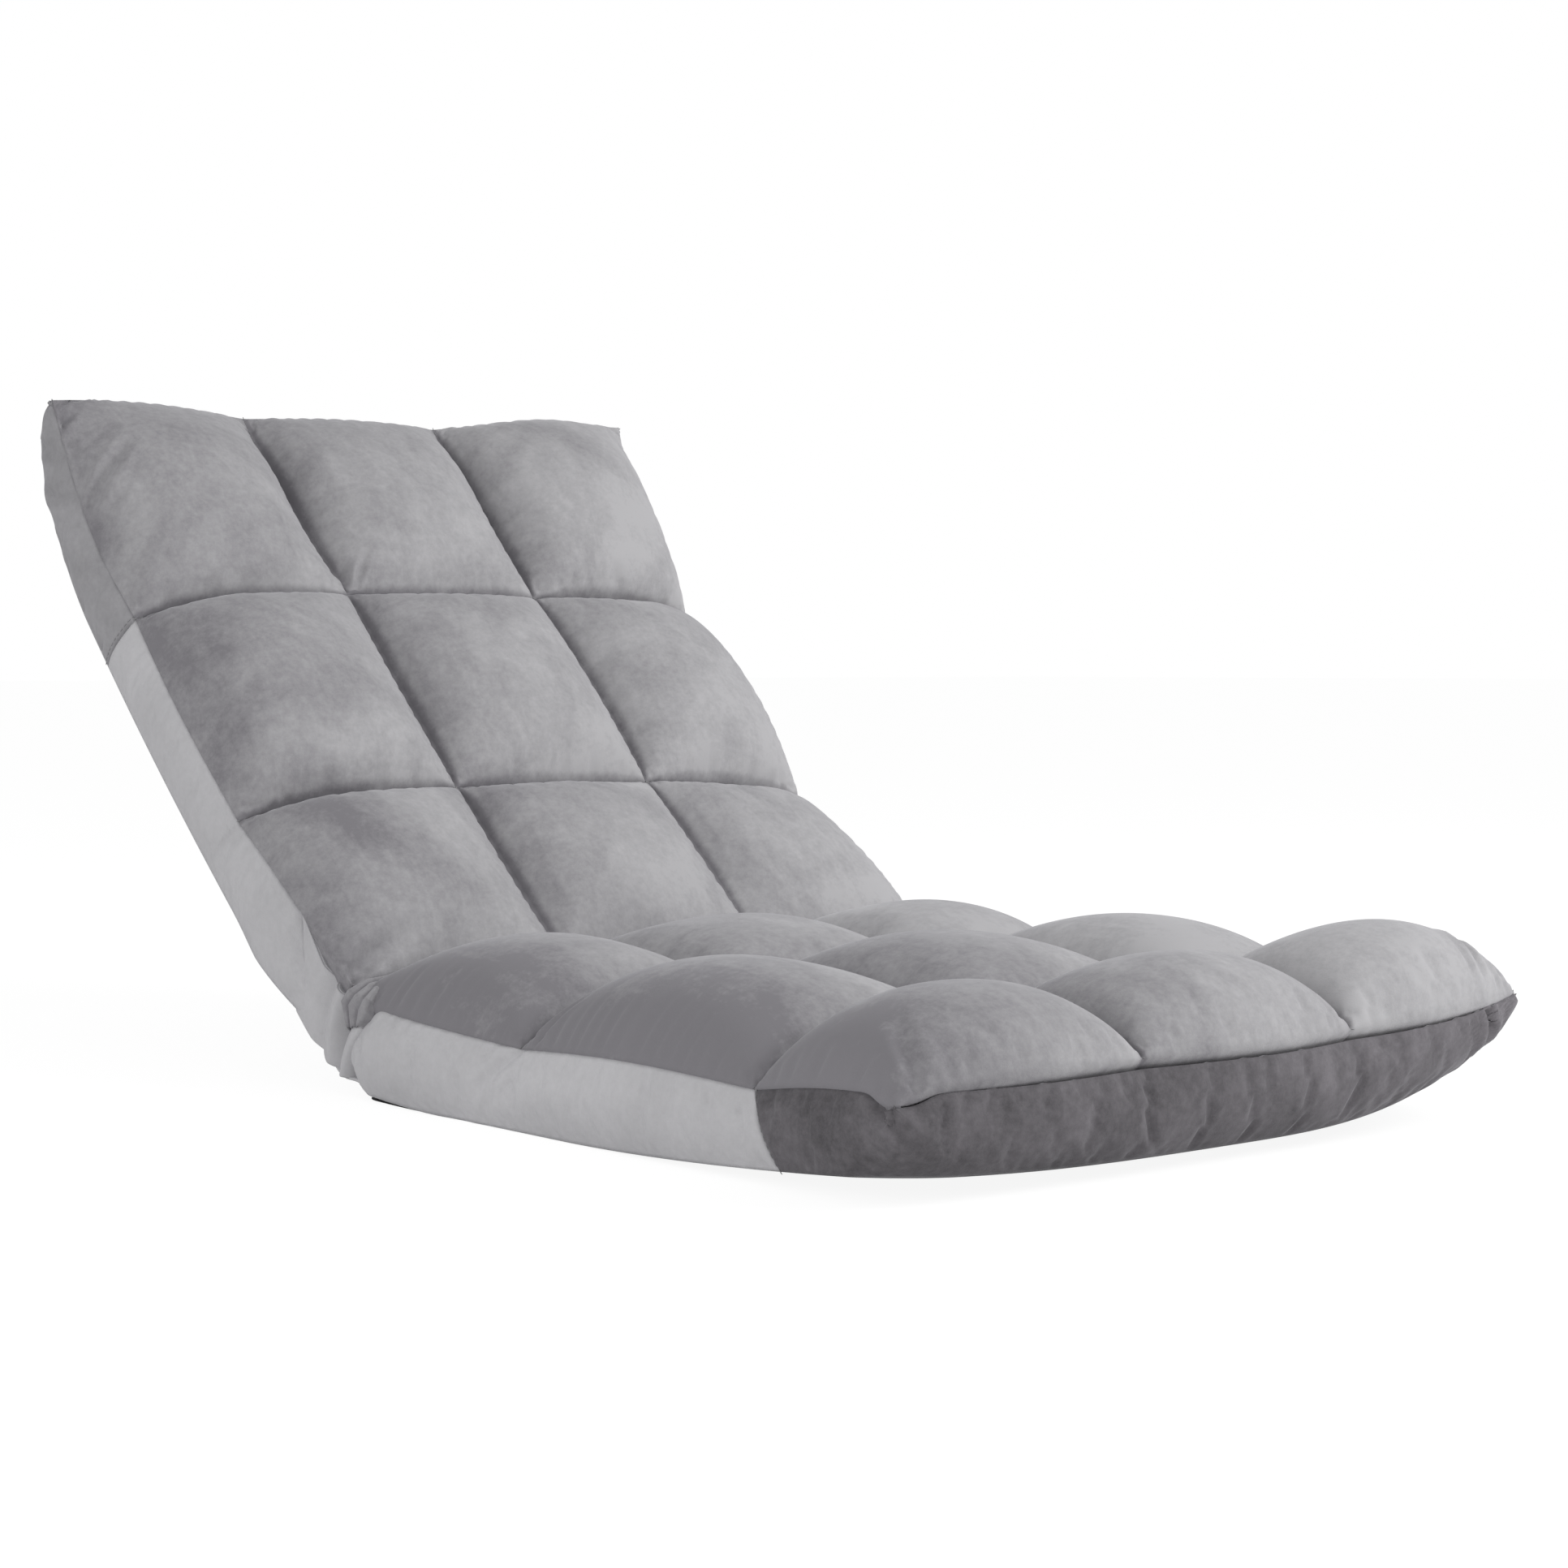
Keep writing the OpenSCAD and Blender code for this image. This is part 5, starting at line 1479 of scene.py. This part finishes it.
class CHAIR_OT_core_layers(bpy.types.Operator):
    """Bend the foam slabs and the quilt backings to the covers' curl"""
    bl_idname = "chair.core_layers"
    bl_label = "Foam and backing"

    def execute(self, context):
        halves = make_halves()
        for name, layers in (("seat", ("lower_foam", "upper_foam", "quilt_backing")),
                             ("back", ("rear_foam", "front_foam", "quilt_backing"))):
            for layer in layers:
                self.layer(halves[name], f"{name}_{layer}")
        return {"FINISHED"}

    def layer(self, half, node):
        seat = half.body == "seat"
        lean = 0 if seat else sizes().back_lean
        along = Vector((0, -1, 0)) if seat else Vector((0, math.cos(lean), math.sin(lean)))
        up = Vector((0, 0, 1)) if seat else Vector((0, -math.sin(lean), math.cos(lean)))
        hinge = Vector((0, HINGE_Y, HINGE_Z))
        bm = bmesh.new()
        bm.from_mesh(bpy.data.objects[node].data)
        bmesh.ops.remove_doubles(bm, verts=bm.verts, dist=TINY)
        cuts = [(Vector((x, 0, 0)), Vector((1, 0, 0)))
                for x in np.arange(*SLICES_ACROSS, SLICE)]
        first = min(half.low_starts + (LOW_BULGE_START,)) if half.low_bulge else min(half.low_starts)
        cuts += [(hinge + along * s, along) for s in np.arange(first, half.length, SLICE)]
        for place, normal in cuts:
            bmesh.ops.bisect_plane(bm, geom=bm.verts[:] + bm.edges[:] + bm.faces[:], plane_co=place,
                                   plane_no=normal)
        points = np.array([v.co for v in bm.verts])
        off = points - np.array(hinge)
        s, h, x = off @ np.array(along), off @ np.array(up), points[:, 0].copy()
        centre_x, centre_s = CORE_HALF_W - CORE_R, half.length - CORE_END_IN - CORE_R
        dx, ds = np.abs(x) - centre_x, s - centre_s
        far = np.hypot(dx, ds)
        pull = np.where((dx > 0) & (ds > 0) & (far > CORE_R), CORE_R / np.maximum(far, TINY), 1)
        x = np.where(pull < 1, np.sign(x) * (centre_x + dx * pull), x)
        s = np.where(pull < 1, centre_s + ds * pull, s)
        h = h + half.layer_rise(x, s, h)
        placed = half.world(np.stack([x, s, h], -1))
        for v, co in zip(bm.verts, placed):
            v.co = co
        bmesh.ops.recalc_face_normals(bm, faces=bm.faces)
        mesh = bpy.data.meshes.new(f"{node}_core")
        bm.to_mesh(mesh)
        bm.free()
        piece = linked(f"{node}_core", mesh)
        backing = node.endswith("backing")
        mesh.materials.append(finish("backing_white" if backing else "foam_cream"))
        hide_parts(node)
        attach(piece, half.body)


# Stage: pale floor, white backdrop, soft light and the photograph's camera

CAMERA_AT = (-1.2749, -1.401, 0.2822)
CAMERA_AZIMUTH = math.radians(-40.17)
CAMERA_DOWN = math.radians(2.36)
CAMERA_LENS = 67.94
WORLD_STRENGTH = 0.47
LIGHTS_TOWARDS = (0.0, 0.1, 0.15)
LIGHTS = (
    # name, place, size and power
    ("Window", (1.6, -1.6, 1.5), (1.2, 1.2), 40),
    ("Fill", (-2.2, -0.4, 0.8), (1.4, 1.0), 14))
FLOOR_REACH = 40
FLOOR_TONE = (0.9, 0.9, 0.9, 1)
FLOOR_SHOWN = 0.8
FLOOR_GLOW = 1.13


def area_light(name, at, size, power):
    lamp = bpy.data.lights.new(name, "AREA")
    lamp.shape = "RECTANGLE"
    lamp.size, lamp.size_y = size
    lamp.energy = power
    made = linked(name, lamp)
    made.location = at
    made.rotation_euler = (Vector(LIGHTS_TOWARDS) - Vector(at)).to_track_quat("-Z", "Y").to_euler()


class CHAIR_OT_frame_finish(bpy.types.Operator):
    """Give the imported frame's parts their paint, plating, nylon, webbing and thread"""
    bl_idname = "chair.frame_finish"
    bl_label = "Frame finishes"

    def execute(self, context):
        finishes = {"spring": "spring_wire", "bush": "nylon_white", "webbing": "webbing_black",
                    "ties": "thread_grey", "rivets": "zinc_plate", "_frame": "frame_paint",
                    "cross_tube": "frame_paint"}
        for name, node in frame["nodes"].items():
            if node.hide_render:
                continue
            made = next((made for key, made in finishes.items() if key in name), "zinc_plate")
            for slot in node.material_slots:
                slot.material = finish(made)
        return {"FINISHED"}


class CHAIR_OT_stage(bpy.types.Operator):
    """Set up the floor, the backdrop, the lights and the camera"""
    bl_idname = "chair.stage"
    bl_label = "Stage"

    def execute(self, context):
        scene = context.scene
        world = bpy.data.worlds.new("Studio")
        world.use_nodes = True
        scene.world = world
        self.backdrop(Nodes(world.node_tree))
        for light in LIGHTS:
            area_light(*light)
        self.floor()
        lens = bpy.data.cameras.new("Photograph")
        lens.lens = CAMERA_LENS
        lens.sensor_width = 36
        lens.clip_end = 100
        camera = linked("Photograph", lens)
        camera.location = CAMERA_AT
        camera.rotation_euler = Euler((math.pi / 2 - CAMERA_DOWN, 0, CAMERA_AZIMUTH))
        scene.camera = camera
        scene.view_settings.view_transform = "Standard"
        return {"FINISHED"}

    def backdrop(self, nodes):
        """Plain white to the camera, in reflections and through glass, and soft light to other rays."""
        soft = nodes.tree.nodes["Background"]
        nodes.fill(soft, {"Color": (1, 1, 1, 1), "Strength": WORLD_STRENGTH})
        path = nodes.add("ShaderNodeLightPath").outputs
        seen = nodes.maths("MAXIMUM", path["Is Camera Ray"], path["Is Glossy Ray"])
        seen = nodes.maths("MAXIMUM", seen, path["Is Transmission Ray"])
        white = nodes.add("ShaderNodeBackground", {"Color": (1, 1, 1, 1), "Strength": 1.0})
        pick = nodes.add("ShaderNodeMixShader", {0: seen, 1: soft, 2: white})
        nodes.fill(nodes.tree.nodes["World Output"], {"Surface": pick})

    def floor(self):
        bm = bmesh.new()
        bmesh.ops.create_grid(bm, x_segments=8, y_segments=8, size=FLOOR_REACH)
        mesh = bpy.data.meshes.new("floor")
        bm.to_mesh(mesh)
        bm.free()
        floor = linked("floor", mesh)
        material, nodes, surface = new_material(
            "floor_white", {"Base Color": FLOOR_TONE, "Roughness": 1, "Specular IOR Level": 0})
        path = nodes.add("ShaderNodeLightPath").outputs
        share = nodes.maths("MULTIPLY", path["Is Camera Ray"], FLOOR_SHOWN)
        glow = nodes.add("ShaderNodeEmission", {"Strength": FLOOR_GLOW})
        shown = nodes.add("ShaderNodeMixShader", {0: share, 1: surface, 2: glow})
        nodes.fill(nodes.tree.nodes["Material Output"], {"Surface": shown})
        mesh.materials.append(material)


class CHAIR_PT_panel(bpy.types.Panel):
    """Buttons and sizes of the floor chair"""
    bl_idname = "CHAIR_PT_panel"
    bl_label = "Folding Floor Chair"
    bl_space_type = "VIEW_3D"
    bl_region_type = "UI"
    bl_category = "Floor Chair"

    def draw(self, context):
        for operator in OPERATORS:
            self.layout.operator(operator.bl_idname)
        for group in (getattr(context.scene, name) for name in GROUPS):
            for name in group.bl_rna.properties.keys():
                if name not in ("rna_type", "name"):
                    self.layout.prop(group, name)


OPERATORS = (
    CHAIR_OT_stage, CHAIR_OT_quilts, CHAIR_OT_boxing, CHAIR_OT_fold_covers, CHAIR_OT_flat_covers,
    CHAIR_OT_core_layers, CHAIR_OT_stitches, CHAIR_OT_grip_dots, CHAIR_OT_frame_finish)
GROUPS = {"chair_sizes": ChairSizes, "chair_filling": ChairFilling, "chair_colours": ChairColours,
          "chair_beads": ChairBeads}
CLASSES = tuple(GROUPS.values()) + OPERATORS + (CHAIR_PT_panel,)


def register():
    for item in CLASSES:
        bpy.utils.register_class(item)
    for name, group in GROUPS.items():
        setattr(bpy.types.Scene, name, PointerProperty(type=group))


def unregister():
    for name in GROUPS:
        delattr(bpy.types.Scene, name)
    for item in reversed(CLASSES):
        bpy.utils.unregister_class(item)


def main():
    register()
    bpy.ops.chair.stage()
    bpy.ops.chair.quilts()
    bpy.ops.chair.boxing()
    bpy.ops.chair.fold_covers()
    bpy.ops.chair.flat_covers()
    bpy.ops.chair.core_layers()
    bpy.ops.chair.stitches()
    bpy.ops.chair.grip_dots()
    bpy.ops.chair.frame_finish()


if __name__ == "__main__":
    main()
